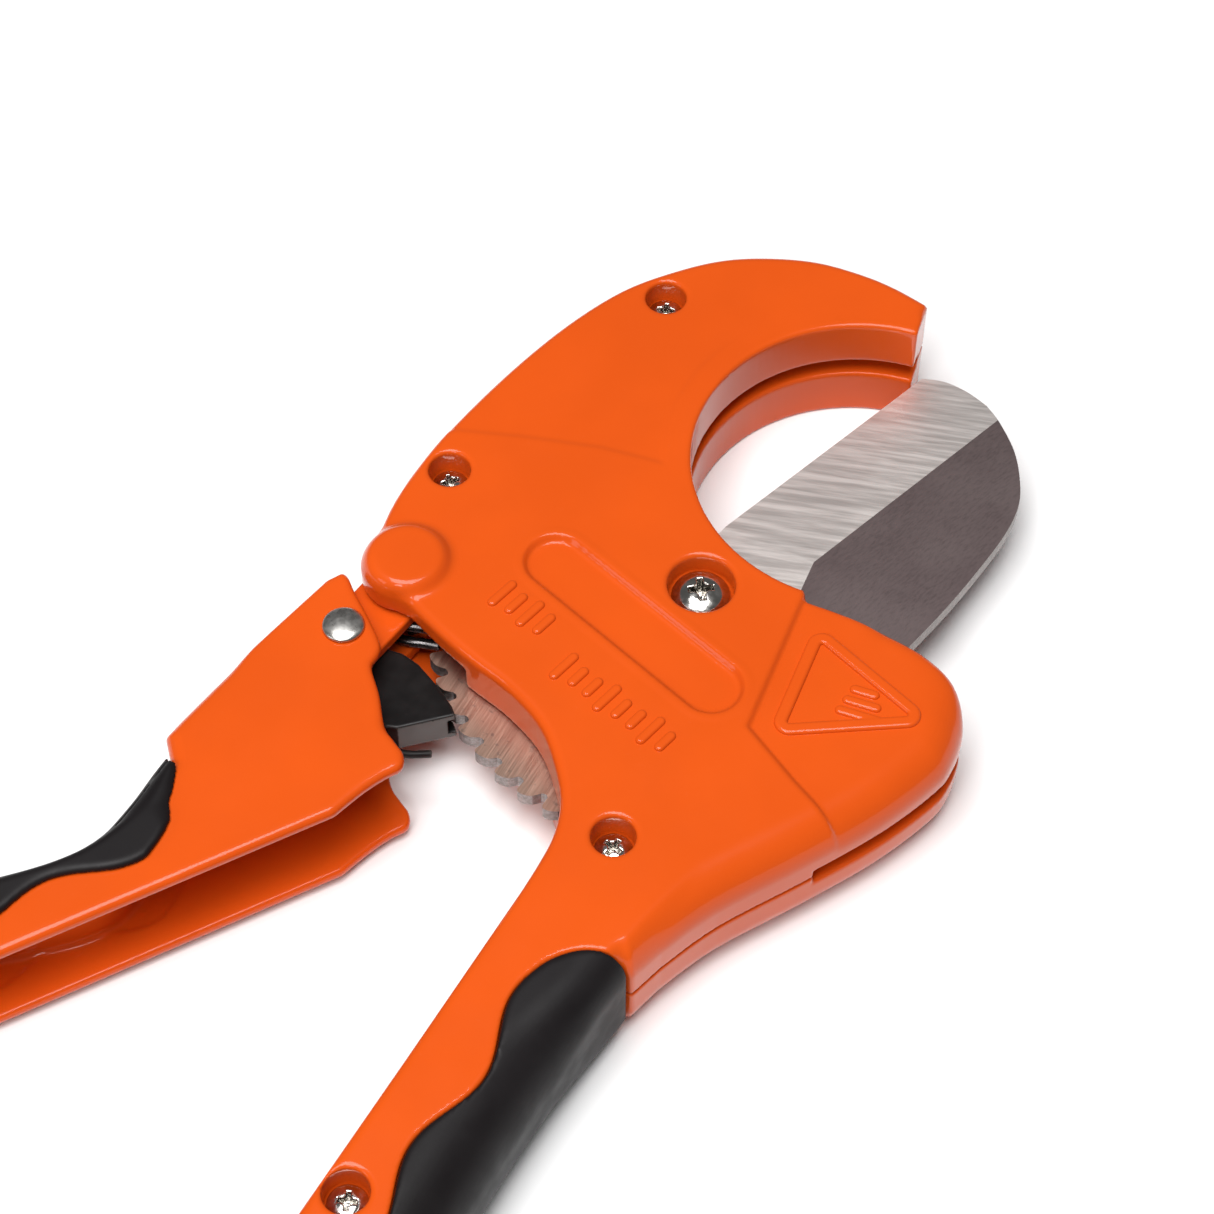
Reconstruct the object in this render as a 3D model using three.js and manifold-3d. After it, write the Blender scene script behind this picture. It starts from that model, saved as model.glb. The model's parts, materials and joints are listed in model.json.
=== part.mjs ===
// Ratchet cutter for plastic pipe up to 64 mm, lying flat on its rear face.
// Millimetres, +Z up. While it is drawn, the blade pivot is at x = y = 0, the two body shells
// part at z = 0, +X runs from the fixed handle to the jaw, and +Y is the side of the moving handle.
import * as THREE from 'three';
import { mergeVertices } from 'three/addons/utils/BufferGeometryUtils.js';
import Module from 'manifold-3d';

// Driving dimensions
const GAP = 0.3; // between pieces that touch
const FRONT = 12.5; // front face of the body
const REAR = -13; // rear face, which the tool lies on
const WALL = 3.2;
const EDGE_ROUND = 2;
const JAW = { x: 41.4, y: -13.1, r: 33.5 }; // seat of a 64 mm pipe
const PIN = { x: -22.7, y: 50.3, r: 3, boss: 8, top: 15.5 }; // link pin
const RIVET = { x: -40.7, y: 52.2, r: 2.4, head: 3.9 };
const PIVOT = { shank: 3, bush: 5, head: 5.6, headTop: 11, recess: 6.3, floor: 7.5, end: -12 };
const BLADE = { half: 1.5, slot: 1.95, reach: 78.4, edge: 0.15, bevel: 19 };
const CUTTING_LINE = { heel: [22.2, 6.6], point: [74.4, -9.5], length: 60 };
const TEETH = { count: 17, tip: 51, root: 49.3, first: 129.8, pitch: 6.55, seat: 51.6 };
const EAR = { low: 3.6, high: 6.4, r: 6.2 };
const CHANNEL = { half: 11.4, inner: 8.8, web: 3 };
const GRIP_RISE = 0.8; // front of the fixed grip above the body's front face
const GRIP_SKIN = 2.1;
const SCREW = { head: 3.6, shank: 1.75, recess: 4.2, boss: 6, floor: 5.6, headTop: 8, end: -9 };
const SCREWS = {
  hook_screw: [58.2, 40.2],
  top_screw: [-0.3, 54.4],
  neck_screw: [-55.3, -13.1],
  handle_screw: [-134.7, -9.2],
  handle_end_screw: [-238, -13],
};
const FIXED_GRIP = { mid: -16.1, wave: 2.1, period: 32.4, crest: -90.2 };
const HANDLE = { x: -86.5, y: 39.9, turn: 147.5, end: 186 }; // inner edge of the moving handle
const HANDLE_WAVE = { mid: 7.3, wave: 1.9, period: 30, trough: 21 };

// Materials
const orangePaint = new THREE.MeshStandardMaterial({ color: 0xf36120, roughness: 0.35, metalness: 0.1 });
const gripRubber = new THREE.MeshStandardMaterial({ color: 0x322c2d, roughness: 0.6, metalness: 0 });
const bladeSteel = new THREE.MeshStandardMaterial({ color: 0x9a8f8e, roughness: 0.35, metalness: 1 });
const blackSteel = new THREE.MeshStandardMaterial({ color: 0x1e1c1d, roughness: 0.4, metalness: 0.8 });
const nickel = new THREE.MeshStandardMaterial({ color: 0xc8c6c2, roughness: 0.2, metalness: 1 });
const bronze = new THREE.MeshStandardMaterial({ color: 0xa77a45, roughness: 0.4, metalness: 1 });

const wasm = await Module();
wasm.setup();

// Solids

function solidOf(geometry) {
  geometry.deleteAttribute('normal');
  geometry.deleteAttribute('uv');
  const merged = mergeVertices(geometry, 1e-4);
  const index = merged.index.array;
  const triVerts = [];
  for (let i = 0; i < index.length; i += 3) {
    const [a, b, c] = [index[i], index[i + 1], index[i + 2]];
    if (a !== b && b !== c && c !== a) triVerts.push(a, b, c);
  }
  return new wasm.Manifold(new wasm.Mesh({
    numProp: 3,
    vertProperties: merged.attributes.position.array,
    triVerts: Uint32Array.from(triVerts),
  }));
}

const tool = new THREE.Group();

function addPiece(name, solid, material) {
  const { vertProperties, triVerts } = solid.getMesh();
  const geometry = new THREE.BufferGeometry();
  geometry.setAttribute('position', new THREE.BufferAttribute(vertProperties, 3));
  geometry.setIndex(new THREE.BufferAttribute(triVerts, 1));
  geometry.computeVertexNormals();
  const mesh = new THREE.Mesh(geometry, material);
  mesh.name = name;
  tool.add(mesh);
}

// A straight-sided plate with the given plan.
function plate(points, low, high) {
  const shape = new THREE.Shape(points);
  const geometry = new THREE.ExtrudeGeometry(shape, { depth: high - low, bevelEnabled: false });
  return solidOf(geometry.translate(0, 0, low));
}

// The same with its front and rear edges rounded, inside the same outline.
function softPlate(points, low, high, round) {
  const shape = new THREE.Shape(points);
  const geometry = new THREE.ExtrudeGeometry(shape, {
    depth: high - low - 2 * round,
    bevelThickness: round,
    bevelSize: round,
    bevelOffset: -round,
    bevelSegments: 2,
  });
  return solidOf(geometry.translate(0, 0, low + round));
}

// A turned piece: profile points are [radius, z], from the axis round and back to it.
function turned(x, y, profile, sides = 18) {
  const points = profile.map(([r, z]) => new THREE.Vector2(r, z));
  const geometry = new THREE.LatheGeometry(points, sides).rotateX(Math.PI / 2);
  return solidOf(geometry.translate(x, y, 0));
}

function rod(x, y, r, low, high, sides = 18) {
  return turned(x, y, [[0, low], [r, low], [r, high], [0, high]], sides);
}

function ring(x, y, inner, outer, low, high, sides = 18) {
  return turned(x, y, [[inner, low], [outer, low], [outer, high], [inner, high], [inner, low]], sides);
}

// Round wire along a smooth path.
function wire(points, radius, steps) {
  const section = new THREE.Shape(circle(0, 0, radius, 6));
  const path = new THREE.CatmullRomCurve3(points);
  return solidOf(new THREE.ExtrudeGeometry(section, { steps, bevelEnabled: false, extrudePath: path }));
}

function joined(...solids) {
  return solids.reduce((sum, solid) => sum.add(solid));
}

// Plan outlines

const P = (x, y) => new THREE.Vector2(x, y);

function polar(angle, r, x = 0, y = 0) {
  const a = THREE.MathUtils.degToRad(angle);
  return P(x + r * Math.cos(a), y + r * Math.sin(a));
}

function arc(x, y, r, from, to, count) {
  return Array.from({ length: count + 1 }, (_, i) => polar(from + ((to - from) * i) / count, r, x, y));
}

function circle(x, y, r, count = 24) {
  return arc(x, y, r, 0, 360 - 360 / count, count - 1);
}

function smooth(pairs, perSpan = 3) {
  const curve = new THREE.SplineCurve(pairs.map(([x, y]) => P(x, y)));
  return curve.getPoints(perSpan * (pairs.length - 1));
}

function capsule(a, b, r, half = 8) {
  const along = THREE.MathUtils.radToDeg(Math.atan2(b.y - a.y, b.x - a.x));
  return [
    ...arc(b.x, b.y, r, along - 90, along + 90, half),
    ...arc(a.x, a.y, r, along + 90, along + 270, half),
  ];
}

// Moves an outline outwards by a small distance.
function grown(points, distance) {
  const outwards = THREE.ShapeUtils.area(points) > 0 ? 1 : -1;
  return points.map((point, i) => {
    const before = points[(i + points.length - 1) % points.length];
    const after = points[(i + 1) % points.length];
    const a = point.clone().sub(before).normalize();
    const b = after.clone().sub(point).normalize();
    const normal = P(a.y + b.y, -a.x - b.x).multiplyScalar(outwards).normalize();
    const stretch = 1 / Math.max(0.5, Math.abs(normal.x * a.y - normal.y * a.x));
    return point.clone().addScaledVector(normal, distance * stretch);
  });
}

// A place on the moving handle: s along its inner edge from the head, n outwards across it.
function onHandle(s, n) {
  const along = polar(HANDLE.turn, 1);
  return P(HANDLE.x + s * along.x + n * along.y, HANDLE.y + s * along.y - n * along.x);
}

// Fixed grip, in plan

const fixedWave = (x) => {
  const { mid, wave, period, crest } = FIXED_GRIP;
  return mid + wave * Math.cos((2 * Math.PI * (x - crest)) / period);
};

const fixedOuter = (x) => -27.4 + 0.9 * Math.exp(-(((x + 112) / 22) ** 2));

function fixedGripOutline() {
  const inner = [];
  for (let x = -88; x > -234; x -= 4) inner.push(P(x, fixedWave(x)));
  const outer = [];
  for (let x = -236; x < -84; x += 12) outer.push(P(x, fixedOuter(x)));
  const nose = smooth([
    [-82, -28], [-77.2, -27.6], [-76.2, -25], [-78.6, -19.4], [-83, -15.9], [-88, -14.1],
  ], 2);
  const tail = smooth([[-234, -18.2], [-239, -18.9], [-243.6, -20.4], [-246, -23.6], [-244.6, -28], [-236, -27.4]], 3);
  return [...inner, ...tail.slice(1, -1), ...outer, ...nose.slice(0, -1)];
}

// Body, in plan

function bodyOutline() {
  const hook = smooth([
    [82.6, -5.5], [83.6, 2], [83.6, 9], [82.2, 18.2], [78.7, 26.8], [73.3, 35.2], [65.6, 42.4],
    [55.8, 49.1], [42.6, 54], [26.3, 57.6], [8.5, 59.9], [-4, 60.2], [-12, 59.6], [-17.6, 58.5],
  ], 2);
  const boss = arc(PIN.x, PIN.y, PIN.boss, 78, 200, 9);
  const throat = smooth([
    [-30.7, 44.4], [-33.6, 36], [-35.8, 28], [-37.6, 19.5], [-41, 11], [-46, 4.8],
    [-53, -1], [-61, -3.9], [-72, -4.6],
  ], 2);
  const innerEdge = [P(-110, -4.6), P(-170, -4.3), P(-215, -4.6)];
  const tail = smooth([
    [-240, -5.4], [-254, -8.5], [-263.5, -15.5], [-266, -24], [-262, -31.5], [-254, -32.6], [-248.5, -29],
  ], 2);
  const gripped = [
    P(-246.8, -25.4), P(-238, -24.9), P(-160, -24.9), P(-78, -25.2), P(-75.4, -26.2), P(-75, -28.2),
  ];
  const cover = smooth([
    [-68, -30], [-56, -34.6], [-40, -43.6], [-26, -50.9], [-14, -55.4], [-8, -56.2], [-0.8, -54.7],
    [4.7, -49.8], [7.2, -42.4], [7.8, -34], [7.5, -26], [6.7, -18.4],
  ], 2);
  const jaw = arc(JAW.x, JAW.y, JAW.r, 187, 10, 30);
  return [...hook, ...boss, ...throat, ...innerEdge, ...tail, ...gripped, ...cover, ...jaw];
}

// Space for the blade at every angle of its swing.
function bladeSpace(half) {
  const disc = plate(circle(0, 0, TEETH.seat, 48), -half, half);
  const cover = plate([P(0, 0), ...arc(0, 0, 92, -131, -12, 6)], -half, half);
  const hook = plate([P(0, 0), ...arc(0, 0, BLADE.reach, -13, 23.5, 8), polar(28, 52)], -half, half);
  const holdingBay = plate(capsule(P(...SCREWS.neck_screw), P(-47, -27), 7.4), -half, half);
  return joined(disc, cover, hook, holdingBay);
}

const LINK_HALF = EAR.high + 0.9; // half height of the space round the link

// Room for the link, its springs and the drive pawl, open towards the handles.
function linkSpace() {
  const swing = [
    P(PIN.x, 57.2), P(-40, 64), P(-52, 40), P(-46, 29.6), P(-35.4, 29.6), P(-29, 31.5),
    P(-18, 39), P(-15.8, 49),
  ];
  return joined(plate(swing, -LINK_HALF, LINK_HALF), rod(PIN.x, PIN.y, 6.9, -LINK_HALF, LINK_HALF));
}

// Pockets that leave the casting's walls, ribs and screw bosses.
function pockets(depth, handleDepth) {
  const jawRib = arc(JAW.x, JAW.y, JAW.r + 5, 20, 112, 12);
  const back = smooth([
    [25, 27], [8, 24], [-6, 24], [-11, 34], [-9, 48], [-5, 54], [8, 54], [26, 51.2], [42, 47.4],
    [55, 42.6], [64, 36], [71, 27], [75.4, 18], [77.6, 8],
  ], 2);
  const upper = plate([...jawRib, ...back], -depth, depth);
  const lower = plate(smooth([
    [1, -24], [2.6, -36], [-1, -46], [-8, -51.4], [-24, -46.6], [-38, -39.4], [-50, -31.6], [-58, -24],
    [-46, -10], [-38, 4], [-32, 20], [-22, 24], [-14, 8], [-12, -12], [1, -24],
  ], 2).slice(0, -1), -depth, depth);
  const handle = plate(capsule(P(-76, -14), P(-234, -14), 5.6), -handleDepth, handleDepth);
  return joined(upper, lower, handle);
}

const HANDLE_POCKET = 7.4;
const GRIP_SEAT = 10.9; // half thickness of the fixed handle under its grip

// Every space that both shells share.
function shellSpaces() {
  const bosses = Object.values(SCREWS).map(([x, y]) => rod(x, y, SCREW.boss, -20, 20));
  const pillars = joined(...bosses, rod(0, 0, 10.5, -20, 20));
  const hollow = pockets(FRONT - WALL, HANDLE_POCKET).subtract(pillars);
  const holes = Object.values(SCREWS).map(([x, y]) => rod(x, y, SCREW.shank + GAP, SCREW.end - GAP, 20, 16));
  const pivotHole = rod(0, 0, PIVOT.shank + GAP, -20, 20);
  const washerSeat = rod(0, 0, 9.2, -2.75, 2.75, 32);
  const pinHole = rod(PIN.x, PIN.y, PIN.r + GAP, -10.8, 11.2);
  const grip = grown(fixedGripOutline(), GAP);
  const gripRecess = joined(plate(grip, GRIP_SEAT, 20), plate(grip, -20, -GRIP_SEAT));
  const joints = joined(linkSpace(), washerSeat, pivotHole, pinHole);
  return joined(hollow, bladeSpace(BLADE.slot), joints, gripRecess, ...holes);
}

const STEP = 1; // the blade cover's front face below the body's

function bodyShells() {
  const outline = bodyOutline();
  const whole = softPlate(outline, REAR, FRONT, EDGE_ROUND).subtract(shellSpaces());
  const everywhere = [P(-400, -200), P(400, -200), P(400, 200), P(-400, 200)];
  const frontHalf = plate(everywhere, GAP / 2, 40);
  const rearHalf = plate(everywhere, -40, -GAP / 2);

  const bossFoot = FRONT - 0.9;
  const boss = turned(PIN.x, PIN.y, [
    [0, bossFoot], [PIN.boss, bossFoot], [PIN.boss, PIN.top - 1.6], [PIN.boss - 0.6, PIN.top - 0.5],
    [PIN.boss - 2, PIN.top], [0, PIN.top],
  ], 28);
  const lowered = plate([
    P(9, -17.4), P(-23.4, -22.4), P(-29.5, -35), P(-34.6, -47), P(-34, -62), P(20, -62), P(20, -17.4),
  ], FRONT - STEP, 20);
  const plaque = plate(capsule(P(-9, 25.9), P(-19.2, -12.6), 6, 10), FRONT - 0.5, 20);
  const recesses = Object.values(SCREWS).map(([x, y]) => rod(x, y, SCREW.recess, SCREW.floor, 20));
  const pivotRecess = rod(0, 0, PIVOT.recess, PIVOT.floor, 20, 32);
  const front = whole.intersect(frontHalf).subtract(joined(lowered, plaque, pivotRecess, ...recesses)).add(boss);
  addPiece('front_shell', front, orangePaint);

  const nutRecess = rod(0, 0, 6.8, -20, -7.6, 6);
  addPiece('rear_shell', whole.intersect(rearHalf).subtract(nutRecess), orangePaint);
}

function fixedGrip() {
  const block = softPlate(fixedGripOutline(), REAR, FRONT + GRIP_RISE, 1.6);
  const core = plate(grown(bodyOutline(), GAP), -GRIP_SEAT - GAP, GRIP_SEAT + GAP);
  addPiece('fixed_handle_grip', block.subtract(core), gripRubber);
}

// Moving handle

const HANDLE_BACK = [ // s and n of the outer edge from the grip's start to its end
  [7.5, 24.6], [11, 22.4], [17.5, 18], [26, 13.6], [33, 13], [42, 14.8], [52, 17.6], [64, 19.6], [80, 20.4],
  [96, 19.8], [112, 19.4], [128, 20.2], [144, 20.8], [158, 20.4], [170, 20.2],
];

function handleEnd() {
  return [[178, 21], [184, 19.6], [HANDLE.end, 14], [HANDLE.end - 1, 5], [179, 0.6]];
}

// The channel in plan; inset narrows it along the back, under the grip.
function handleOutline(inset) {
  const back = smooth(HANDLE_BACK, 2).map((p) => onHandle(p.x, p.y - inset));
  const end = smooth(handleEnd(), 2).map((p) => onHandle(p.x, p.y));
  const head = smooth([[-76.2, 67.2], [-70, 66.6], [-53.3, 64.4], [-33, 61]], 2);
  const side = smooth([
    [-30, 59.4], [-30.4, 57.8], [-32.6, 55], [-36.4, 49.4], [-40.2, 44.6], [-42.6, 43.6], [-45.3, 43.2],
    [-49.5, 38.9], [-54.8, 34.4], [-56.8, 31], [-58.3, 28.2], [-60.9, 26.8], [-64, 27.8], [-68.4, 29.8],
    [-75, 32],
  ], 2);
  return [...side, ...end.reverse(), ...back.reverse(), ...head];
}

function movingGripOutline() {
  const back = smooth(HANDLE_BACK, 2).map((p) => onHandle(p.x, p.y));
  const tail = smooth([[170, 20.2], [175, 18.6], [177, 14], [174, 8.6], [168, 7]], 2);
  const inner = [];
  const { mid, wave, period, trough } = HANDLE_WAVE;
  for (let s = 164; s > 17; s -= 3.5) {
    inner.push(onHandle(s, mid - wave * Math.cos((2 * Math.PI * (s - trough)) / period)));
  }
  const nose = smooth([[15.6, 7.6], [10.8, 11.9], [6.9, 16.9], [5, 21.6], [7.5, 24.6]], 2);
  const placed = (points) => points.map((p) => onHandle(p.x, p.y));
  return [...back.slice(0, -1), ...placed(tail), ...inner, ...placed(nose.slice(0, -1))];
}

function movingHandle() {
  const outline = handleOutline(GRIP_SKIN + GAP);
  const body = softPlate(outline, -CHANNEL.half, CHANNEL.half, 0.6);
  const depth = GRIP_SKIN + GAP + CHANNEL.web;
  const back = smooth(HANDLE_BACK.slice(1), 2).map((p) => onHandle(p.x, p.y - depth));
  const mouth = [
    onHandle(198, 15), onHandle(198, -20), P(-46, 10), P(-10, 50), P(-30, 72), P(-50, 72), P(-50.5, 59.4),
    P(-72, 61),
  ];
  const channel = plate([...back, ...mouth], -CHANNEL.inner, CHANNEL.inner);
  const rivetHole = rod(RIVET.x, RIVET.y, RIVET.r + GAP, -20, 20);
  addPiece('moving_handle', body.subtract(channel).subtract(rivetHole), orangePaint);

  const half = -REAR;
  const block = softPlate(movingGripOutline(), -half, half, 1.4);
  const core = plate(grown(outline, GAP), -CHANNEL.half - GAP, CHANNEL.half + GAP);
  addPiece('moving_handle_grip', block.subtract(core), gripRubber);
}

// Link, its pins and springs

function linkPieces() {
  const ear = capsule(P(RIVET.x, RIVET.y), P(PIN.x, PIN.y), EAR.r);
  const web = [P(-36.2, 55), P(-30.5, 55), P(-30.5, 57.2), P(-36.2, 57.6)];
  const holes = joined(
    rod(PIN.x, PIN.y, PIN.r + GAP, -20, 20),
    rod(RIVET.x, RIVET.y, RIVET.r + GAP, -20, 20),
  );
  const frontEar = plate(ear, EAR.low, EAR.high);
  const rearEar = plate(ear, -EAR.high, -EAR.low);
  const body = joined(frontEar, rearEar, plate(web, -EAR.low - 1, EAR.low + 1));
  addPiece('link', body.subtract(holes), orangePaint);
  addPiece('link_pin', rod(PIN.x, PIN.y, PIN.r, -10.5, 10.9), nickel);

  const rivetTop = CHANNEL.half + GAP;
  const headHeight = -REAR - rivetTop;
  const head = (side) => [
    [RIVET.head, side * rivetTop],
    [RIVET.head - 0.6, side * (rivetTop + headHeight * 0.6)],
    [RIVET.head - 2, side * (rivetTop + headHeight)],
    [0, side * (rivetTop + headHeight)],
  ];
  const profile = [...head(-1).reverse(), [RIVET.r, -rivetTop], [RIVET.r, rivetTop], ...head(1)];
  addPiece('handle_rivet', turned(RIVET.x, RIVET.y, profile, 20), nickel);

  const [low, high] = [EAR.high + GAP, CHANNEL.inner - GAP];
  addPiece('rivet_washer_front', ring(RIVET.x, RIVET.y, RIVET.r + GAP, 4.2, low, high), nickel);
  addPiece('rivet_washer_rear', ring(RIVET.x, RIVET.y, RIVET.r + GAP, 4.2, -high, -low), nickel);
}

// One turn round a pin, then a straight leg.
function torsionSpring(x, y, z, coil, from, turns, legEnd, radius) {
  const count = Math.round(turns * 16);
  const points = [];
  for (let i = 0; i <= count; i += 1) {
    const p = polar(from + (360 * turns * i) / count, coil, x, y);
    points.push(new THREE.Vector3(p.x, p.y, z));
  }
  const last = points[points.length - 1];
  points.push(new THREE.Vector3((last.x + legEnd[0]) / 2, (last.y + legEnd[1]) / 2, (z + legEnd[2]) / 2));
  points.push(new THREE.Vector3(...legEnd));
  return wire(points, radius, count + 4);
}

function springs() {
  const rest = [-30.2, 53.4];
  for (const [name, side] of [['return_spring_front', 1], ['return_spring_rear', -1]]) {
    const z = side * 2.6;
    addPiece(name, torsionSpring(PIN.x, PIN.y, z, 4.4, 160, 0.82, [...rest, z], 0.7), blackSteel);
  }
}

function drivePawl() {
  const hub = circle(RIVET.x, RIVET.y, 4.6, 20);
  const strut = [
    P(-44.1, 27.7), P(-43.7, 32), P(-40.8, 41), P(-37, 49.4), P(-44.6, 54), P(-51.2, 37), P(-50.2, 32.6),
  ];
  const half = EAR.low - GAP;
  const body = joined(plate(hub, -half, half), plate(strut, -half, half));
  addPiece('drive_pawl', body.subtract(rod(RIVET.x, RIVET.y, RIVET.r + GAP, -20, 20)), blackSteel);

  const leg = smooth([[-48, 49.2], [-50.6, 42.4], [-52.6, 36.8], [-53.6, 31.2]], 2);
  const route = leg.map((p) => new THREE.Vector3(p.x, p.y, 2));
  const hook = [new THREE.Vector3(-52.6, 28.4, 1.6), new THREE.Vector3(-51.6, 26.6, 1)];
  addPiece('pawl_spring', wire([...route, ...hook], 0.75, 18), blackSteel);
}

// Blade

function bladeOutline() {
  const nose = smooth([CUTTING_LINE.point, [75.6, -13.8], [75.2, -19], [73.6, -24]], 3).reverse();
  const back = smooth([
    [14.5, -37.1], [24, -38.8], [35, -40.2], [46.3, -41], [54, -40.2], [60, -37.6], [65.8, -33.6], [70.8, -28.1],
    [73.6, -24],
  ], 2);
  const heel = [P(...CUTTING_LINE.heel), P(19, 7.1)];
  const hub = arc(0, 0, 9.4, 50, 125, 8);
  const teeth = [];
  for (let i = 0; i < TEETH.count; i += 1) {
    const tip = TEETH.first + i * TEETH.pitch;
    teeth.push(polar(tip - 1.1, TEETH.root), polar(tip, TEETH.tip));
  }
  const end = TEETH.first + TEETH.count * TEETH.pitch;
  const rear = smooth([[-26.5, -39], [-14, -34.6], [0, -35], [14.5, -37.1]], 2).slice(0, -1);
  const ratchet = [polar(127.6, 44), ...teeth, polar(end - 1.1, TEETH.root)];
  return [...heel, ...hub, ...ratchet, ...rear, ...back, ...nose.slice(1)];
}

// Ground away on both sides, from nothing at the bevel line to a thin edge at the cutting line.
function bevelCut(side) {
  const { bevel, half, edge } = BLADE;
  const { heel, point, length } = CUTTING_LINE;
  const [before, above] = [2, half + 3];
  const lowest = edge - (before * (half - edge)) / bevel;
  const section = new THREE.Shape([P(-before, lowest), P(bevel, half), P(bevel, above), P(-before, above)]);
  const geometry = new THREE.ExtrudeGeometry(section, { depth: length, bevelEnabled: false });
  const along = P(point[0] - heel[0], point[1] - heel[1]).normalize();
  const placed = new THREE.Matrix4().makeBasis(
    new THREE.Vector3(along.y, -along.x, 0),
    new THREE.Vector3(0, 0, 1),
    new THREE.Vector3(-along.x, -along.y, 0),
  );
  placed.setPosition(heel[0] + along.x * length, heel[1] + along.y * length, 0);
  geometry.applyMatrix4(placed);
  const cut = solidOf(geometry);
  return side > 0 ? cut : cut.mirror([0, 0, 1]);
}

function bladePieces() {
  const body = plate(bladeOutline(), -BLADE.half, BLADE.half);
  const bore = rod(0, 0, PIVOT.bush + GAP, -5, 5, 32);
  addPiece('blade', body.subtract(bore).subtract(bevelCut(1)).subtract(bevelCut(-1)), bladeSteel);

  addPiece('blade_pivot_bush', ring(0, 0, PIVOT.shank + GAP, PIVOT.bush, -2.45, 2.45), bronze);
  const washerInner = PIVOT.bush + GAP;
  addPiece('pivot_washer_front', ring(0, 0, washerInner, 8.9, BLADE.half + GAP, 2.45), nickel);
  addPiece('pivot_washer_rear', ring(0, 0, washerInner, 8.9, -2.45, -BLADE.half - GAP), nickel);
}

// Fasteners

function crossHead(x, y, headTop, headR, shank, end) {
  const headLow = headTop - headR * 0.55;
  const profile = [
    [0, end], [shank, end], [shank, headLow], [headR, headLow], [headR, headLow + headR * 0.25],
    [headR * 0.72, headTop - headR * 0.06], [0, headTop],
  ];
  const screw = turned(x, y, profile, 16);
  const [long, wide] = [headR, headR * 0.24];
  const depth = headTop - headR * 0.3;
  const slot = (a, b) => {
    const corners = [P(x - a, y - b), P(x + a, y - b), P(x + a, y + b), P(x - a, y + b)];
    return plate(corners, depth, headTop + 1);
  };
  return screw.subtract(slot(long / 2, wide / 2)).subtract(slot(wide / 2, long / 2));
}

function fasteners() {
  for (const [name, [x, y]] of Object.entries(SCREWS)) {
    addPiece(name, crossHead(x, y, SCREW.headTop, SCREW.head, SCREW.shank, SCREW.end), nickel);
  }
  addPiece('blade_pivot_screw', crossHead(0, 0, PIVOT.headTop, PIVOT.head, PIVOT.shank, PIVOT.end), nickel);
  const nut = rod(0, 0, 6.3, -12.2, -7.9, 6).subtract(rod(0, 0, PIVOT.shank + GAP, -20, 0));
  addPiece('blade_pivot_nut', nut, nickel);
}

// Holding pawl, on the shank of the neck screw

function holdingPawl() {
  const [x, y] = SCREWS.neck_screw;
  const tip = polar(209.6, TEETH.seat - 0.1);
  const strut = [polar(205, 57.6), polar(206, 52.6), tip, polar(211, 55), polar(202.6, 59.6), polar(195, 59.4)];
  const half = BLADE.half;
  const hub = plate(circle(x, y, 4.2, 20), -half, half);
  const arm = plate([P(x + 1, y - 4), ...strut, P(x - 3.8, y - 1)], -half, half);
  const body = joined(hub, arm);
  addPiece('holding_pawl', body.subtract(rod(x, y, SCREW.shank + GAP, -5, 5, 16)), blackSteel);

  const leaf = [
    new THREE.Vector3(-54.3, -24.6, 0),
    new THREE.Vector3(-54.6, -27, 0),
    new THREE.Vector3(-51.2, -29.8, 0),
  ];
  addPiece('holding_pawl_spring', wire(leaf, 0.5, 10), blackSteel);
}

bodyShells();
fixedGrip();
movingHandle();
linkPieces();
springs();
drivePawl();
bladePieces();
fasteners();
holdingPawl();

// The origin is the middle of the plan, on the surface that the tool lies on.
const extent = new THREE.Box3().setFromObject(tool);
const middle = extent.getCenter(new THREE.Vector3());
tool.position.set(-middle.x, -middle.y, -extent.min.z);
tool.updateMatrixWorld(true);

export default tool;
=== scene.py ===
"""A ratchet cutter for plastic pipe, lying on its rear face.

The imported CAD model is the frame. Cast, moulded and turned pieces are shaped here as distance fields
and meshed, flat steel pieces are extruded, and every surface gets a procedural material.
"""

import json
import math

import bmesh
import bpy
import numpy as np
from mathutils import Matrix, Vector


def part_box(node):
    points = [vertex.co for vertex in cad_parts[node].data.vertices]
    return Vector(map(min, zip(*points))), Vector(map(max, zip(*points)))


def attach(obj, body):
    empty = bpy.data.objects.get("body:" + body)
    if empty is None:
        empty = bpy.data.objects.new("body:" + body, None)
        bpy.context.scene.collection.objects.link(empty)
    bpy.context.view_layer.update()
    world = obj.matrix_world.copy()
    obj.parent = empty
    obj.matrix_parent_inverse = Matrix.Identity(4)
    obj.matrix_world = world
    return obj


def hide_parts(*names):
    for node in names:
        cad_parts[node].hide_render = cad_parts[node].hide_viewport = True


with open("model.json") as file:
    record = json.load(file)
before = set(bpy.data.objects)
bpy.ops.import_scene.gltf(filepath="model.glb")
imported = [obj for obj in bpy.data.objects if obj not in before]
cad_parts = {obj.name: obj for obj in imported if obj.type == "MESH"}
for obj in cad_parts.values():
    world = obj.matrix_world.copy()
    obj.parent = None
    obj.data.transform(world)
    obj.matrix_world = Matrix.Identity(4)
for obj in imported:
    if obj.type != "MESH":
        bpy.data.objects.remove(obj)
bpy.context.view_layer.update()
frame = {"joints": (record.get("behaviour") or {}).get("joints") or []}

MM = 0.001
JOINTS = {joint["name"]: Vector(joint["pos_m"]) for joint in frame["joints"]}
ORIGIN = JOINTS["blade_swing"]  # the blade pivot, at the height where the two shells part


def design(point):
    """A point in metres of the row frame, in millimetres from the blade pivot."""
    return (point - ORIGIN) / MM


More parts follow.
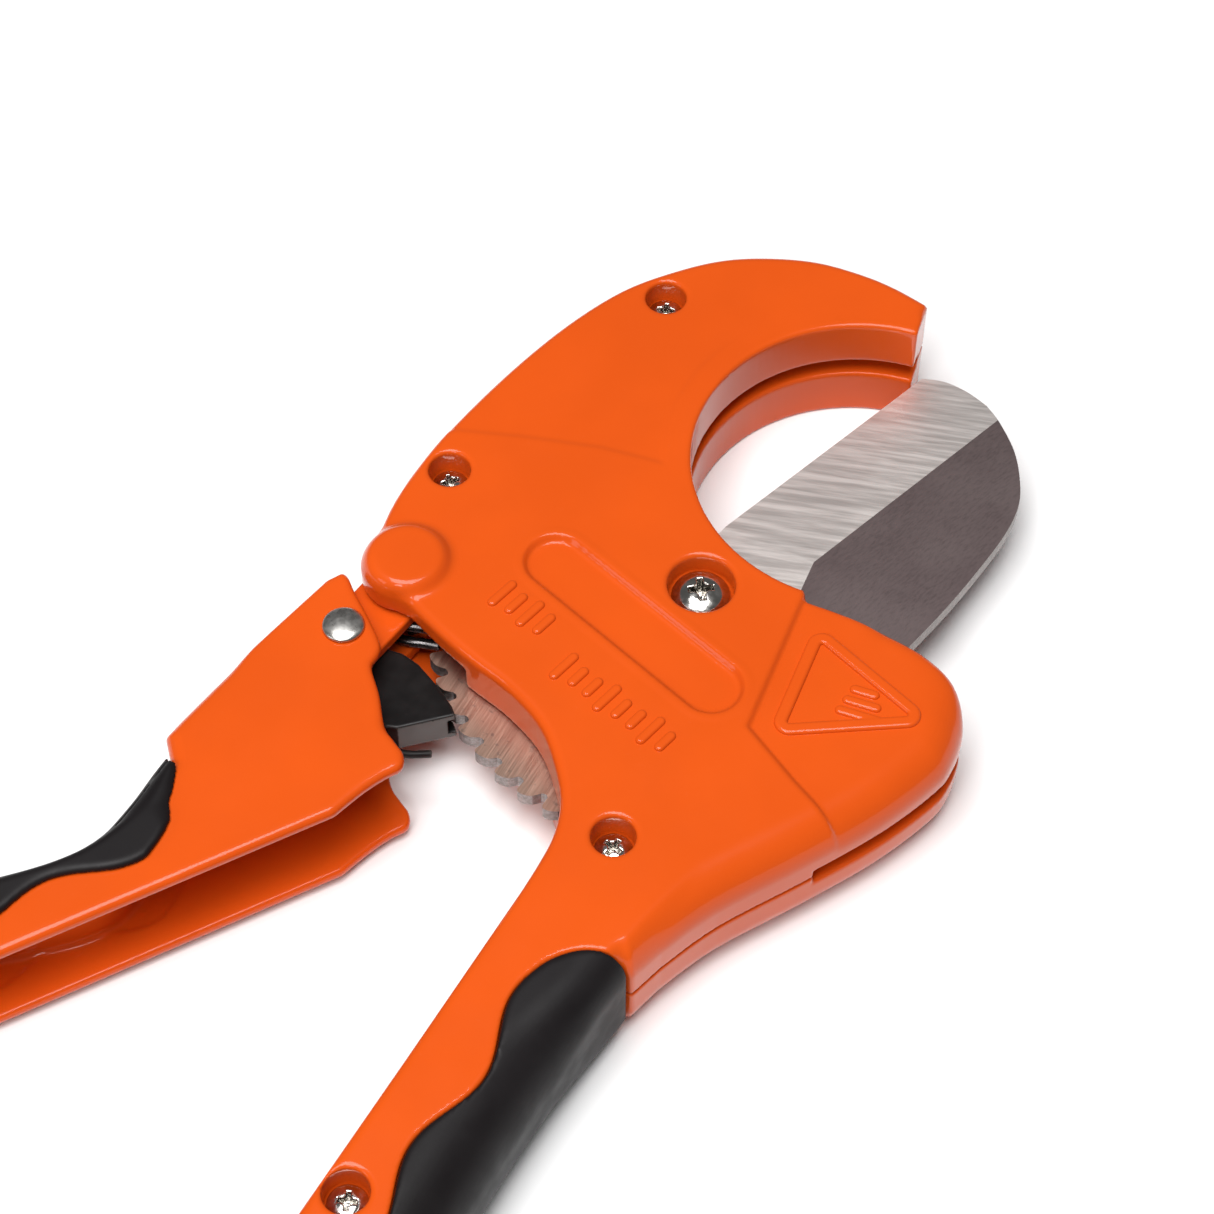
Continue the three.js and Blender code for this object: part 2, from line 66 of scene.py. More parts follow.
# Heights and places in millimetres from the blade pivot, taken from the frame
FRONT = round(design(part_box("front_shell")[1]).z - 3.0, 3)  # the boss stands 3 mm above the front face
BOSS_TOP = design(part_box("front_shell")[1]).z
REAR = design(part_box("rear_shell")[0]).z
PIN = design(JOINTS["handle_squeeze"])
RIVET = design(JOINTS["handle_release"])
GRIP_TOP = design(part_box("fixed_handle_grip")[1]).z
JAW = Vector((41.4, -13.1))
JAW_RADIUS = 33.5
BLADE_HALF = design(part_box("blade")[1]).z

# Radii of the bores. SHAFT_HOLE is the one round the link pin and round the blade's pivot screw.
RIVET_HOLE, SHAFT_HOLE, BLADE_HOLE = 2.7, 3.3, 5.3


def middle(node):
    low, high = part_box(node)
    return design((low + high) / 2)


SCREWS = {
    name: middle(name)
    for name in ("hook_screw", "top_screw", "neck_screw", "handle_screw", "handle_end_screw")
}

# ---------------------------------------------------------------- camera, light and floor


def add_camera():
    view = Vector((-13.5, 12.3, FRONT))
    elevation, azimuth = math.radians(54), math.radians(-60)
    back = Vector((
        math.sin(azimuth) * math.cos(elevation),
        -math.cos(azimuth) * math.cos(elevation),
        math.sin(elevation),
    ))
    camera = bpy.data.objects.new("camera", bpy.data.cameras.new("camera"))
    camera.data.sensor_width = 36
    camera.data.lens = 88.96
    camera.data.clip_start = 0.01
    camera.location = ORIGIN + view * MM + back * 0.5495
    camera.rotation_euler = (-back).to_track_quat("-Z", "Y").to_euler()
    bpy.context.scene.collection.objects.link(camera)
    bpy.context.scene.camera = camera


def add_light(name, place, size, power, colour=(1, 1, 1)):
    light = bpy.data.objects.new(name, bpy.data.lights.new(name, "AREA"))
    light.data.shape = "RECTANGLE"
    light.data.size, light.data.size_y = size
    light.data.energy = power
    light.data.color = colour
    light.location = place
    light.rotation_euler = (Vector((0, 0, 0)) - Vector(place)).to_track_quat("-Z", "Y").to_euler()
    bpy.context.scene.collection.objects.link(light)


def add_studio():
    scene = bpy.context.scene
    scene.view_settings.view_transform = "Standard"
    world = bpy.data.worlds.new("studio")
    world.use_nodes = True
    world.node_tree.nodes["Background"].inputs["Color"].default_value = (1, 1, 1, 1)
    world.node_tree.nodes["Background"].inputs["Strength"].default_value = 0.12
    scene.world = world
    add_light("key", (-0.87, -0.12, 0.95), (0.26, 0.26), 3)
    add_light("overhead", (-0.16, -0.04, 1.2), (0.8, 0.8), 20)
    add_light("window", (-0.9, 0.6, 0.5), (0.4, 0.4), 1.5)

    bpy.ops.mesh.primitive_plane_add(size=6, location=(0, 0, 0))
    floor = bpy.context.object
    floor.name = "floor"
    material = bpy.data.materials.new("floor")
    material.use_nodes = True
    shader = material.node_tree.nodes["Principled BSDF"]
    shader.inputs["Base Color"].default_value = (0.88, 0.88, 0.88, 1)
    shader.inputs["Roughness"].default_value = 0.7
    floor.data.materials.append(material)


add_camera()
add_studio()

# ---------------------------------------------------------------- plan outlines, in millimetres


def polar(angle, radius, centre=(0, 0)):
    a = math.radians(angle)
    return (centre[0] + radius * math.cos(a), centre[1] + radius * math.sin(a))


def arc(centre, radius, start, end, count):
    return [polar(start + (end - start) * i / count, radius, centre) for i in range(count + 1)]


def smooth(points, per_span=5):
    """A Catmull-Rom curve through the points."""
    out = []
    last = len(points) - 1
    for i in range(last):
        p0, p1, p2, p3 = (np.array(points[j], float) for j in (max(i - 1, 0), i, i + 1, min(i + 2, last)))
        for k in range(per_span):
            t = k / per_span
            v0, v1 = (p2 - p0) / 2, (p3 - p1) / 2
            p = (2 * p1 - 2 * p2 + v0 + v1) * t**3 + (-3 * p1 + 3 * p2 - 2 * v0 - v1) * t**2 + v0 * t + p1
            out.append(tuple(p))
    return out + [tuple(points[last])]


def fixed_wave(x):
    return -16.1 + 2.1 * math.cos(2 * math.pi * (x + 90.2) / 32.4)


def fixed_outer(x):
    return -27.2 + 1.17 * np.exp(-(((x + 112) / 24) ** 2)) - 0.8 * np.exp(-(((x + 74) / 9) ** 2))


def fixed_grip_outline():
    inner = [(x, fixed_wave(x)) for x in np.arange(-88, -234, -1.5)]
    outer = [(x, fixed_outer(x)) for x in np.arange(-236, -84, 4)]
    nose = smooth([(-82, -27.8), (-77, -28), (-75.6, -26), (-77.6, -20.2), (-82.2, -16.1), (-88, -14.1)])
    tail = smooth([
        (-234, -18.2), (-239, -18.9), (-243.6, -20.4), (-246, -23.6), (-244.6, -28), (-236, -27.4),
    ])
    return inner + tail[1:-1] + outer + nose[:-1]


def body_outline():
    hook = smooth([
        (82.6, -5.5), (83.6, 2), (83.6, 9), (82.2, 18.2), (78.7, 26.8), (73.3, 35.2), (65.6, 42.4),
        (55.8, 49.1), (42.6, 54), (26.3, 57.6), (8.5, 59.9), (-4, 60.2), (-12, 59.6), (-17.6, 58.5),
    ])
    boss = arc(PIN.xy, 8, 78, 200, 18)
    throat = smooth([
        (-30.7, 44.4), (-33.6, 36), (-35.8, 28), (-37.6, 19.5), (-41, 11), (-46, 4.8), (-53, -1),
        (-61, -3.9), (-72, -4.6),
    ])
    tail = smooth([
        (-240, -5.4), (-254, -8.5), (-263.5, -15.5), (-266, -24), (-262, -31.5), (-254, -32.6), (-248.5, -29),
    ])
    gripped = [(-246.8, -25.4), (-238, -24.9), (-160, -24.9), (-78, -25.2), (-75.4, -26.2), (-75, -28.2)]
    cover = smooth([
        (-68, -30), (-56, -34.6), (-40, -43.6), (-26, -50.9), (-14, -55.4), (-8, -56.2), (-0.8, -54.7),
        (4.7, -49.8), (7.2, -42.4), (7.8, -34), (7.5, -26), (6.7, -18.4),
    ])
    jaw = arc(JAW, JAW_RADIUS, 187, 10, 60)
    straight = [(-110, -4.6), (-170, -4.3), (-215, -4.6)]
    return hook + boss + throat + straight + tail + gripped + cover + jaw


HANDLE_TURN = math.radians(147.5)
HANDLE_START = (-86.5, 39.9)
HANDLE_ALONG = (math.cos(HANDLE_TURN), math.sin(HANDLE_TURN))


def on_handle(s, n):
    """A place on the moving handle: s along its inner edge from the head, n outwards across it."""
    return (
        HANDLE_START[0] + s * HANDLE_ALONG[0] + n * HANDLE_ALONG[1],
        HANDLE_START[1] + s * HANDLE_ALONG[1] - n * HANDLE_ALONG[0],
    )


# Back of the moving grip, as places on the handle
HANDLE_BACK = [
    (7.5, 24.6), (11, 22.4), (17.5, 18), (26, 13.6), (33, 13), (42, 14.8), (52, 17.6), (64, 19.6), (80, 20.4),
    (96, 19.8), (112, 19.4), (128, 20.2), (144, 20.8), (158, 20.4), (170, 20.2),
]
GRIP_SKIN = 2.4  # how far the channel's back is set in under the grip


def handle_outline():
    back = [on_handle(s, n - GRIP_SKIN) for s, n in smooth(HANDLE_BACK)]
    end = [on_handle(s, n) for s, n in smooth([(178, 21), (184, 19.6), (186, 14), (185, 5), (179, 0.6)])]
    head = smooth([(-76.2, 67.2), (-70, 66.6), (-53.3, 64.4), (-33, 61)])
    side = smooth([
        (-30, 59.4), (-30.4, 57.8), (-32.6, 55), (-36.4, 49.4), (-40.2, 44.6), (-42.6, 43.6), (-45.3, 43.2),
        (-49.5, 38.9), (-54.8, 34.4), (-56.8, 31), (-58.3, 28.2), (-60.9, 26.9), (-64, 28.5), (-68.4, 30.2),
        (-75, 32),
    ])
    return side + end[::-1] + back[::-1] + head


def moving_grip_outline():
    back = [on_handle(s, n) for s, n in smooth(HANDLE_BACK)]
    tail = [on_handle(s, n) for s, n in smooth([(170, 20.2), (175, 18.6), (177, 14), (174, 8.6), (168, 7)])]
    inner = [
        on_handle(s, 7.3 - 1.9 * math.cos(2 * math.pi * (s - 21) / 30)) for s in np.arange(164, 17, -1.5)
    ]
    front = smooth([(15.6, 7.6), (10.8, 11.9), (6.9, 16.9), (5, 21.6), (7.5, 24.6)])
    nose = [on_handle(s, n) for s, n in front]
    return back[:-1] + tail + inner + nose[:-1]


# ---------------------------------------------------------------- distance fields and their meshes


class Field:
    """A grid of points in millimetres, and the distances of shapes on it: negative inside."""

    def __init__(self, low, high, cell):
        self.cell = cell
        self.low = np.array(low, float)
        axes = [np.arange(a, b + cell, cell) for a, b in zip(low, high)]
        self.X, self.Y = np.meshgrid(axes[0], axes[1], indexing="ij")
        self.Z = axes[2][None, None, :]

    def plan(self, outline):
        """Signed distance to a closed outline, in plan."""
        points = np.asarray(outline, float)
        nearest = np.full(self.X.shape, 1e9)
        inside = np.zeros(self.X.shape, bool)
        for (ax, ay), (bx, by) in zip(points, np.roll(points, -1, 0)):
            ex, ey = bx - ax, by - ay
            if ex == 0 and ey == 0:
                continue
            wx, wy = self.X - ax, self.Y - ay
            t = np.clip((wx * ex + wy * ey) / (ex * ex + ey * ey), 0, 1)
            nearest = np.minimum(nearest, (wx - ex * t) ** 2 + (wy - ey * t) ** 2)
            if ey != 0:
                inside ^= ((ay > self.Y) != (by > self.Y)) & (wx < wy * ex / ey)
        return np.where(inside, -1, 1) * np.sqrt(nearest)

    def circle(self, centre, radius):
        return np.hypot(self.X - centre[0], self.Y - centre[1]) - radius

    def hexagon(self, half_width):
        """A hexagon about x = y = 0, half_width from its centre to each flat."""
        flats = [self.X * math.cos(a) + self.Y * math.sin(a) for a in np.radians(range(30, 390, 60))]
        return np.max(flats, 0) - half_width

    def capsule(self, a, b, radius):
        ex, ey = b[0] - a[0], b[1] - a[1]
        wx, wy = self.X - a[0], self.Y - a[1]
        t = np.clip((wx * ex + wy * ey) / (ex * ex + ey * ey), 0, 1)
        return np.hypot(wx - ex * t, wy - ey * t) - radius

    def below(self, flat, top, rounding):
        """Inside flat and under top, with a rounded edge. top and rounding may vary over the plan."""
        r = np.atleast_3d(rounding)
        a = flat[:, :, None] + r
        b = self.Z - np.atleast_3d(top) + r
        return np.minimum(np.maximum(a, b), 0) + np.hypot(np.maximum(a, 0), np.maximum(b, 0)) - r

    def slab(self, flat, low, high, rounding=0.0):
        """Inside flat, from low to high, with both edges rounded."""
        r = np.atleast_3d(rounding)
        a = flat[:, :, None] + r
        b = np.abs(self.Z - (low + high) / 2) - (high - low) / 2 + r
        return np.minimum(np.maximum(a, b), 0) + np.hypot(np.maximum(a, 0), np.maximum(b, 0)) - r

    def bore(self, centre, radius):
        """A hole right through."""
        return self.slab(self.circle(centre, radius), -20, 20)


def melt(a, b, width):
    """The union of two fields with a fillet."""
    m = np.maximum(width - np.abs(a - b), 0) / width
    return np.minimum(a, b) - m * m * width / 4


def carve(a, b, width=0.3):
    """a with b taken away, with a softened edge."""
    return -melt(-a, b, width)


def ramp(value, start, end):
    t = np.clip((value - start) / (end - start), 0, 1)
    return t * t * (3 - 2 * t)


CORNERS = np.array([(i, j, k) for i in (0, 1) for j in (0, 1) for k in (0, 1)])
EDGES = [(a, b) for a in range(8) for b in range(a + 1, 8) if abs(CORNERS[a] - CORNERS[b]).sum() == 1]


def surface(field, distance):
    """Vertices in millimetres and quads of the zero surface, by surface nets."""
    d = np.pad(distance.astype(np.float32), 1, constant_values=9.0)
    inside = d < 0
    size = np.array(d.shape) - 1
    count = np.zeros(size, np.uint8)
    for c in CORNERS:
        count += inside[c[0]:c[0] + size[0], c[1]:c[1] + size[1], c[2]:c[2] + size[2]]
    cells = np.argwhere((count > 0) & (count < 8))
    number = np.full(size, -1, np.int64)
    number[tuple(cells.T)] = np.arange(len(cells))
    corner = np.stack([d[tuple((cells + c).T)] for c in CORNERS], 1)
    total = np.zeros((len(cells), 3))
    hits = np.zeros((len(cells), 1))
    for a, b in EDGES:
        da, db = corner[:, a], corner[:, b]
        crossed = (da < 0) != (db < 0)
        t = np.where(crossed, da / np.where(crossed, da - db, 1), 0)[:, None]
        total += crossed[:, None] * (CORNERS[a] + t * (CORNERS[b] - CORNERS[a]))
        hits += crossed[:, None]
    place = cells + total / hits
    quads = []
    for axis in range(3):
        u, v = [(1, 2), (2, 0), (0, 1)][axis]
        low = [slice(1, -1)] * 3
        low[axis] = slice(0, -1)
        high = list(low)
        high[axis] = slice(1, None)
        here, there = inside[tuple(low)], inside[tuple(high)]
        for flip, crossed in ((False, here & ~there), (True, ~here & there)):
            at = np.argwhere(crossed) + [0 if k == axis else 1 for k in range(3)]
            step_u, step_v = np.eye(3, dtype=int)[u], np.eye(3, dtype=int)[v]
            ring = [at - step_u - step_v, at - step_v, at, at - step_u]
            quad = np.stack([number[tuple(r.T)] for r in ring], 1)
            quads.append(quad[:, ::-1] if flip else quad)
    return settle(field, d, place), np.concatenate(quads)


def settle(field, d, place):
    """Moves net vertices onto the zero surface, along the field's slope."""
    top = np.array(d.shape) - 1.001
    for _ in range(2):
        at = np.clip(place, 0, top)
        base = np.floor(at).astype(int)
        f = at - base
        value = np.zeros(len(at))
        slope = np.zeros((len(at), 3))
        for c in CORNERS:
            sample = d[tuple((base + c).T)]
            part = np.where(c, f, 1 - f)
            value += sample * part.prod(1)
            for k in range(3):
                others = [m for m in range(3) if m != k]
                slope[:, k] += sample * (1 if c[k] else -1) * part[:, others[0]] * part[:, others[1]]
        length = np.maximum((slope**2).sum(1), 1e-6)
        step = (value / length)[:, None] * slope
        place = place - np.clip(step, -0.35, 0.35)
    return field.low + (place - 1) * field.cell


def add_mesh(name, vertices, faces, material):
    """A mesh piece from vertices in millimetres from the blade pivot."""
    mesh = bpy.data.meshes.new(name)
    mesh.from_pydata(np.asarray(vertices, float) * MM + np.array(ORIGIN), [], faces)
    mesh.validate()
    mesh.shade_smooth()
    mesh.materials.append(material)
    piece = bpy.data.objects.new(name, mesh)
    bpy.context.scene.collection.objects.link(piece)
    return piece


def add_surface(name, field, distance, material):
    return add_mesh(name, *surface(field, distance), material)


def stands_for(piece, body, slot, *nodes):
    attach(piece, body)
    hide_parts(*nodes)


FINE = 0.5  # grid of the shells, in millimetres

# ---------------------------------------------------------------- materials


class Look:
    """A material built from nodes, on coordinates that stay with the piece."""

    def __init__(self, name, colour, roughness, metallic=0.0, coat=0.0, coat_roughness=0.1):
        self.material = bpy.data.materials.new(name)
        self.material.use_nodes = True
        self.tree = self.material.node_tree
        self.shader = self.tree.nodes["Principled BSDF"]
        self.shader.inputs["Base Color"].default_value = (*colour, 1)
        self.shader.inputs["Roughness"].default_value = roughness
        self.shader.inputs["Metallic"].default_value = metallic
        self.shader.inputs["Coat Weight"].default_value = coat
        self.shader.inputs["Coat Roughness"].default_value = coat_roughness
        self.place = self.tree.nodes.new("ShaderNodeTexCoord").outputs["Object"]
        self.normal = None

    def noise(self, size_mm, detail=3.0, stretch=(1, 1, 1), turn=0.0, roughness=0.5):
        """Noise whose features are about size_mm across, before stretching."""
        turned = self.tree.nodes.new("ShaderNodeMapping")
        turned.vector_type = "TEXTURE"
        turned.inputs["Rotation"].default_value = (0, 0, math.radians(turn))
        turned.inputs["Scale"].default_value = stretch
        noise = self.tree.nodes.new("ShaderNodeTexNoise")
        noise.inputs["Scale"].default_value = 1 / (size_mm * MM)
        noise.inputs["Detail"].default_value = detail
        noise.inputs["Roughness"].default_value = roughness
        self.tree.links.new(self.place, turned.inputs["Vector"])
        self.tree.links.new(turned.outputs["Vector"], noise.inputs["Vector"])
        return noise.outputs["Fac"]

    def spread(self, value, low, high, out_low=0.0, out_high=1.0):
        node = self.tree.nodes.new("ShaderNodeMapRange")
        node.interpolation_type = "SMOOTHSTEP"
        for name, number in zip(("From Min", "From Max", "To Min", "To Max"), (low, high, out_low, out_high)):
            node.inputs[name].default_value = number
        self.tree.links.new(value, node.inputs["Value"])
        return node.outputs["Result"]

    def tint(self, value, *colours):
        """Colours along a value from 0 to 1."""
        node = self.tree.nodes.new("ShaderNodeValToRGB")
        ramp_stops = node.color_ramp.elements
        while len(ramp_stops) < len(colours):
            ramp_stops.new(0.5)
        for i, colour in enumerate(colours):
            ramp_stops[i].position = i / (len(colours) - 1)
            ramp_stops[i].color = (*colour, 1)
        self.tree.links.new(value, node.inputs["Fac"])
        return node.outputs["Color"]

    def blend(self, factor, a, b, kind="MIX"):
        node = self.tree.nodes.new("ShaderNodeMix")
        node.data_type = "RGBA"
        node.blend_type = kind
        self.tree.links.new(factor, node.inputs["Factor"])
        for socket, colour in ((node.inputs["A"], a), (node.inputs["B"], b)):
            if isinstance(colour, tuple):
                socket.default_value = (*colour, 1)
            else:
                self.tree.links.new(colour, socket)
        return node.outputs["Result"]

    def bump(self, height, depth_mm, strength=1.0):
        node = self.tree.nodes.new("ShaderNodeBump")
        node.inputs["Strength"].default_value = strength
        node.inputs["Distance"].default_value = depth_mm * MM
        self.tree.links.new(height, node.inputs["Height"])
        if self.normal is not None:
            self.tree.links.new(self.normal, node.inputs["Normal"])
        self.normal = node.outputs["Normal"]
        self.tree.links.new(self.normal, self.shader.inputs["Normal"])

    def edges(self):
        """Near 1 on sharp outer edges, near 0 elsewhere: the mask of a painted edge highlight."""
        node = self.tree.nodes.new("ShaderNodeNewGeometry")
        return self.spread(node.outputs["Pointiness"], 0.52, 0.62)

    def colour(self, socket):
        self.tree.links.new(socket, self.shader.inputs["Base Color"])

    def roughness(self, socket):
        self.tree.links.new(socket, self.shader.inputs["Roughness"])


def orange_paint():
    look = Look("orange_paint", (0.64, 0.074, 0.003), 0.3, coat=0.8, coat_roughness=0.05)
    look.shader.inputs["Coat IOR"].default_value = 1.32
    look.shader.inputs["Specular IOR Level"].default_value = 0.08
    clouds = look.noise(26, 4)
    specks = look.noise(0.9, 2)
    base = look.tint(look.spread(clouds, 0.3, 0.7), (0.61, 0.075, 0.0055), (0.65, 0.081, 0.006))
    dusty = look.blend(look.spread(specks, 0.66, 0.8, 0, 0.12), base, (0.62, 0.11, 0.03))
    look.colour(dusty)
    look.roughness(look.spread(look.noise(9, 3), 0.2, 0.8, 0.28, 0.36))
    look.bump(look.noise(2.4, 2), 0.02, 0.5)
    look.bump(look.noise(0.35, 2), 0.004, 0.5)
    return look.material


def grip_rubber():
    look = Look("grip_rubber", (0.007, 0.0055, 0.0058), 0.5)
    look.shader.inputs["Specular IOR Level"].default_value = 0.2
    clouds = look.noise(18, 4)
    look.colour(look.tint(look.spread(clouds, 0.3, 0.7), (0.007, 0.0055, 0.006), (0.01, 0.008, 0.0088)))
    look.roughness(look.spread(look.noise(5, 4), 0.3, 0.7, 0.44, 0.54))
    look.bump(look.noise(0.5, 3, roughness=0.7), 0.02, 0.6)
    look.bump(look.noise(3.5, 2), 0.015, 0.3)
    return look.material


EDGE_TURN = -17.2  # direction of the blade's cutting edge
GRIND_TURN = 16.5  # the grinding lines run across it, at this angle from the Y axis


def ground_steel():
    """Freshly ground: fine lines across the bevel, in soft bands."""
    look = Look("ground_steel", (0.9, 0.86, 0.84), 0.46, metallic=1)
    lines = look.noise(0.2, 2, (1, 300, 1), GRIND_TURN, 0.5)
    bands = look.noise(1.1, 4, (1, 120, 1), GRIND_TURN, 0.6)
    clouds = look.noise(7, 3)
    tone = look.tint(look.spread(bands, 0.25, 0.75), (0.92, 0.845, 0.805), (1, 0.94, 0.905))
    tone = look.blend(look.spread(lines, 0.3, 0.8, 0, 0.24), tone, (0.7, 0.63, 0.6))
    look.colour(look.blend(look.spread(clouds, 0.5, 0.75, 0, 0.12), tone, (0.78, 0.72, 0.69)))
    look.roughness(look.spread(bands, 0.3, 0.7, 0.42, 0.52))
    look.bump(lines, 0.006, 0.35)
    return look.material


def plain_steel():
    """Hardened plate: darker, with a fine even grain."""
    look = Look("plate_steel", (0.22, 0.185, 0.18), 0.45, metallic=0.9)
    grain = look.noise(0.3, 4, (5, 1, 1), EDGE_TURN, 0.7)
    clouds = look.noise(14, 4)
    tone = look.tint(look.spread(clouds, 0.3, 0.7), (0.2, 0.152, 0.152), (0.24, 0.187, 0.185))
    look.colour(look.blend(look.spread(grain, 0.35, 0.75, 0, 0.5), tone, (0.14, 0.105, 0.105)))
    look.roughness(look.spread(grain, 0.3, 0.7, 0.4, 0.56))
    look.bump(grain, 0.008, 0.5)
    return look.material


def rim_steel():
    """Blanked edge of the plate, dull with small pits."""
    look = Look("rim_steel", (0.3, 0.27, 0.26), 0.45, metallic=0.9)
    pits = look.noise(0.9, 4, roughness=0.7)
    look.colour(look.tint(look.spread(pits, 0.35, 0.7), (0.2, 0.175, 0.165), (0.4, 0.365, 0.355)))
    look.roughness(look.spread(pits, 0.3, 0.7, 0.36, 0.55))
    look.bump(pits, 0.03, 0.5)
    return look.material


def tooth_steel_painted_reflection():
    """The plate at the ratchet, ground with finer lines along the tool; its orange-brown tone is a painted
    reflection of the orange shells.
    """
    look = Look("tooth_steel_painted_reflection", (0.5, 0.45, 0.43), 0.33, metallic=1)
    brushed = look.noise(0.3, 4, (30, 1, 1), 2, 0.6)
    pits = look.noise(1.6, 3)
    # painted reflection: the tone runs orange-brown to stand for the orange shells mirrored in the steel; the
    # darker pits are the steel's own
    tone = look.tint(look.spread(brushed, 0.2, 0.8), (0.48, 0.325, 0.25), (0.62, 0.43, 0.335))
    look.colour(look.blend(look.spread(pits, 0.6, 0.74, 0, 0.7), tone, (0.3, 0.24, 0.21)))
    look.roughness(look.spread(brushed, 0.3, 0.7, 0.32, 0.42))
    look.bump(brushed, 0.006, 0.4)
    return look.material


def black_oxide():
    look = Look("black_oxide", (0.008, 0.007, 0.007), 0.36, metallic=0.12)
    look.shader.inputs["Specular IOR Level"].default_value = 0.22
    wear = look.noise(0.8, 5, (1, 3, 1), 30, 0.7)
    tone = look.blend(look.spread(wear, 0.62, 0.8, 0, 0.25), (0.008, 0.007, 0.007), (0.03, 0.027, 0.026))
    # painted highlight: sharp outer edges are lightened to stand for the light they catch
    look.colour(look.blend(look.edges(), tone, (0.1, 0.095, 0.09)))
    look.roughness(look.spread(look.noise(3, 4), 0.3, 0.7, 0.3, 0.44))
    look.bump(wear, 0.01, 0.5)
    return look.material


def spring_wire():
    """Hard-drawn wire, oiled: darker than bare steel, with a drawn streak along it."""
    look = Look("spring_wire", (0.1, 0.095, 0.095), 0.24, metallic=0.9)
    streaks = look.noise(0.25, 3, (1, 20, 1), 15)
    look.colour(look.tint(look.spread(streaks, 0.3, 0.7), (0.05, 0.047, 0.047), (0.16, 0.15, 0.15)))
    look.roughness(look.spread(look.noise(1.5, 3), 0.3, 0.7, 0.2, 0.32))
    look.bump(streaks, 0.006, 0.4)
    return look.material


def nickel():
    look = Look("nickel", (0.66, 0.64, 0.6), 0.14, metallic=1)
    smudge = look.noise(1.8, 4)
    look.colour(look.tint(look.spread(smudge, 0.3, 0.7), (0.56, 0.54, 0.5), (0.72, 0.7, 0.67)))
    look.roughness(look.spread(smudge, 0.35, 0.75, 0.09, 0.26))
    look.bump(look.noise(0.7, 3), 0.008, 0.5)
    return look.material


def satin_nickel():
    """The rivet's heads, tumbled to a satin finish."""
    look = Look("satin_nickel", (0.62, 0.6, 0.57), 0.3, metallic=1)
    smudge = look.noise(1.4, 4)
    look.colour(look.tint(look.spread(smudge, 0.3, 0.7), (0.56, 0.54, 0.51), (0.7, 0.68, 0.65)))
    look.roughness(look.spread(smudge, 0.3, 0.75, 0.26, 0.36))
    look.bump(look.noise(0.5, 3), 0.008, 0.6)
    return look.material


def bronze():
    look = Look("bronze", (0.5, 0.3, 0.12), 0.35, metallic=1)
    turned = look.noise(0.25, 3, (30, 30, 1))
    look.colour(look.tint(look.spread(turned, 0.3, 0.7), (0.42, 0.25, 0.1), (0.55, 0.34, 0.15)))
    look.roughness(look.spread(turned, 0.3, 0.7, 0.3, 0.45))
    return look.material


PAINT = orange_paint()
RUBBER = grip_rubber()
BEVEL_STEEL = ground_steel()
PLATE_STEEL = plain_steel()
TOOTH_STEEL_PAINTED_REFLECTION = tooth_steel_painted_reflection()
RIM_STEEL = rim_steel()
BLACK = black_oxide()
SPRING = spring_wire()
NICKEL = nickel()
SATIN_NICKEL = satin_nickel()
BRONZE = bronze()

# ---------------------------------------------------------------- body shells

SLOT = 1.95  # half height of the blade slot
LINK_ROOM = 7.3
SEAM = 0.15


def blade_space(field):
    disc = field.circle((0, 0), 51.6)
    cover = field.plan([(0, 0)] + arc((0, 0), 96, -131, -12, 8))
    hook = field.plan([(0, 0)] + arc((0, 0), 78.4, -13, 23.5, 20) + [polar(28, 52)])
    holding_bay = field.capsule(SCREWS["neck_screw"].xy, (-47, -27), 7.4)
    return np.min([disc, cover, hook, holding_bay], 0)


def link_space(field):
    swing = field.plan([
        (PIN.x, 57.2), (-40, 64), (-52, 40), (-46, 29.6), (-35.4, 29.6), (-29, 31.5), (-18, 39), (-15.8, 49),
    ])
    return np.minimum(swing, field.circle(PIN.xy, 6.9))


def edge_rounding(field):
    """Soft on the cover's and neck's lower side, crisp at the jaw, medium elsewhere."""
    X, Y = field.X, field.Y
    lower_side = ramp(-Y, 20, 30) * ramp(-X, -9, 4) * ramp(X, -96, -88)
    near_jaw = ramp(np.abs(np.hypot(X - JAW[0], Y - JAW[1]) - JAW_RADIUS), 7, 3) * ramp(X, -2, 4)
    return (1.7 + 5.8 * lower_side) * (1 - near_jaw) + 0.7 * near_jaw


PLAQUE = ((-9, 25.9), (-19.2, -12.6))
COVER_DROP = 1
RECESS = 4  # radius of the screw recesses
SCREW_SEAT, PIVOT_SEAT = 6.4, 7.5  # heights that the screw heads sit on
# Outlines of the lowered parts of the front face, at the blade cover and at the hook
COVER_STEP = [(9, -17.4), (-23.4, -22.4), (-29.5, -35), (-34.6, -47), (-34, -66), (20, -66), (20, -17.4)]
HOOK_STEP = [(6.8, 62), (13.2, 46.9), (18.5, 32.3), (21, 20.6), (21.6, 13), (90, 0), (90, 62)]


def relief(field):
    """Height of the front face over its plain level."""
    step = -COVER_DROP * ramp(field.plan(COVER_STEP), 0.45, -0.45)
    plaque = field.capsule(*PLAQUE, 6.0)
    sunk = -1.25 * ramp(plaque, 0.2, -1) + 0.1 * ramp(np.abs(plaque - 0.8), 1.2, 0.1)
    jaw_angle = np.degrees(np.arctan2(field.Y - JAW[1], field.X - JAW[0]))
    beyond_rim = field.circle(JAW, JAW_RADIUS + 5.2)
    hook = -0.3 * ramp(np.maximum(field.plan(HOOK_STEP), -beyond_rim), 0.5, -0.7) * ramp(jaw_angle, 62, 84)
    return step + sunk + hook


def grip_core(field):
    """The part of the fixed handle that the grip wraps round, clear of the grip by a hair."""
    inside_grip = field.plan(fixed_grip_outline())[:, :, None] - 0.3
    core = field.slab(field.plan(body_outline()) + 1.2, -9.8, 9.8, 5)
    return np.minimum(core, -inside_grip)


def body_plan(field):
    """The body's outline, with a bulge round the handle screw."""
    return np.minimum(field.plan(body_outline()), field.circle(SCREWS["handle_screw"].xy, RECESS + 0.6))


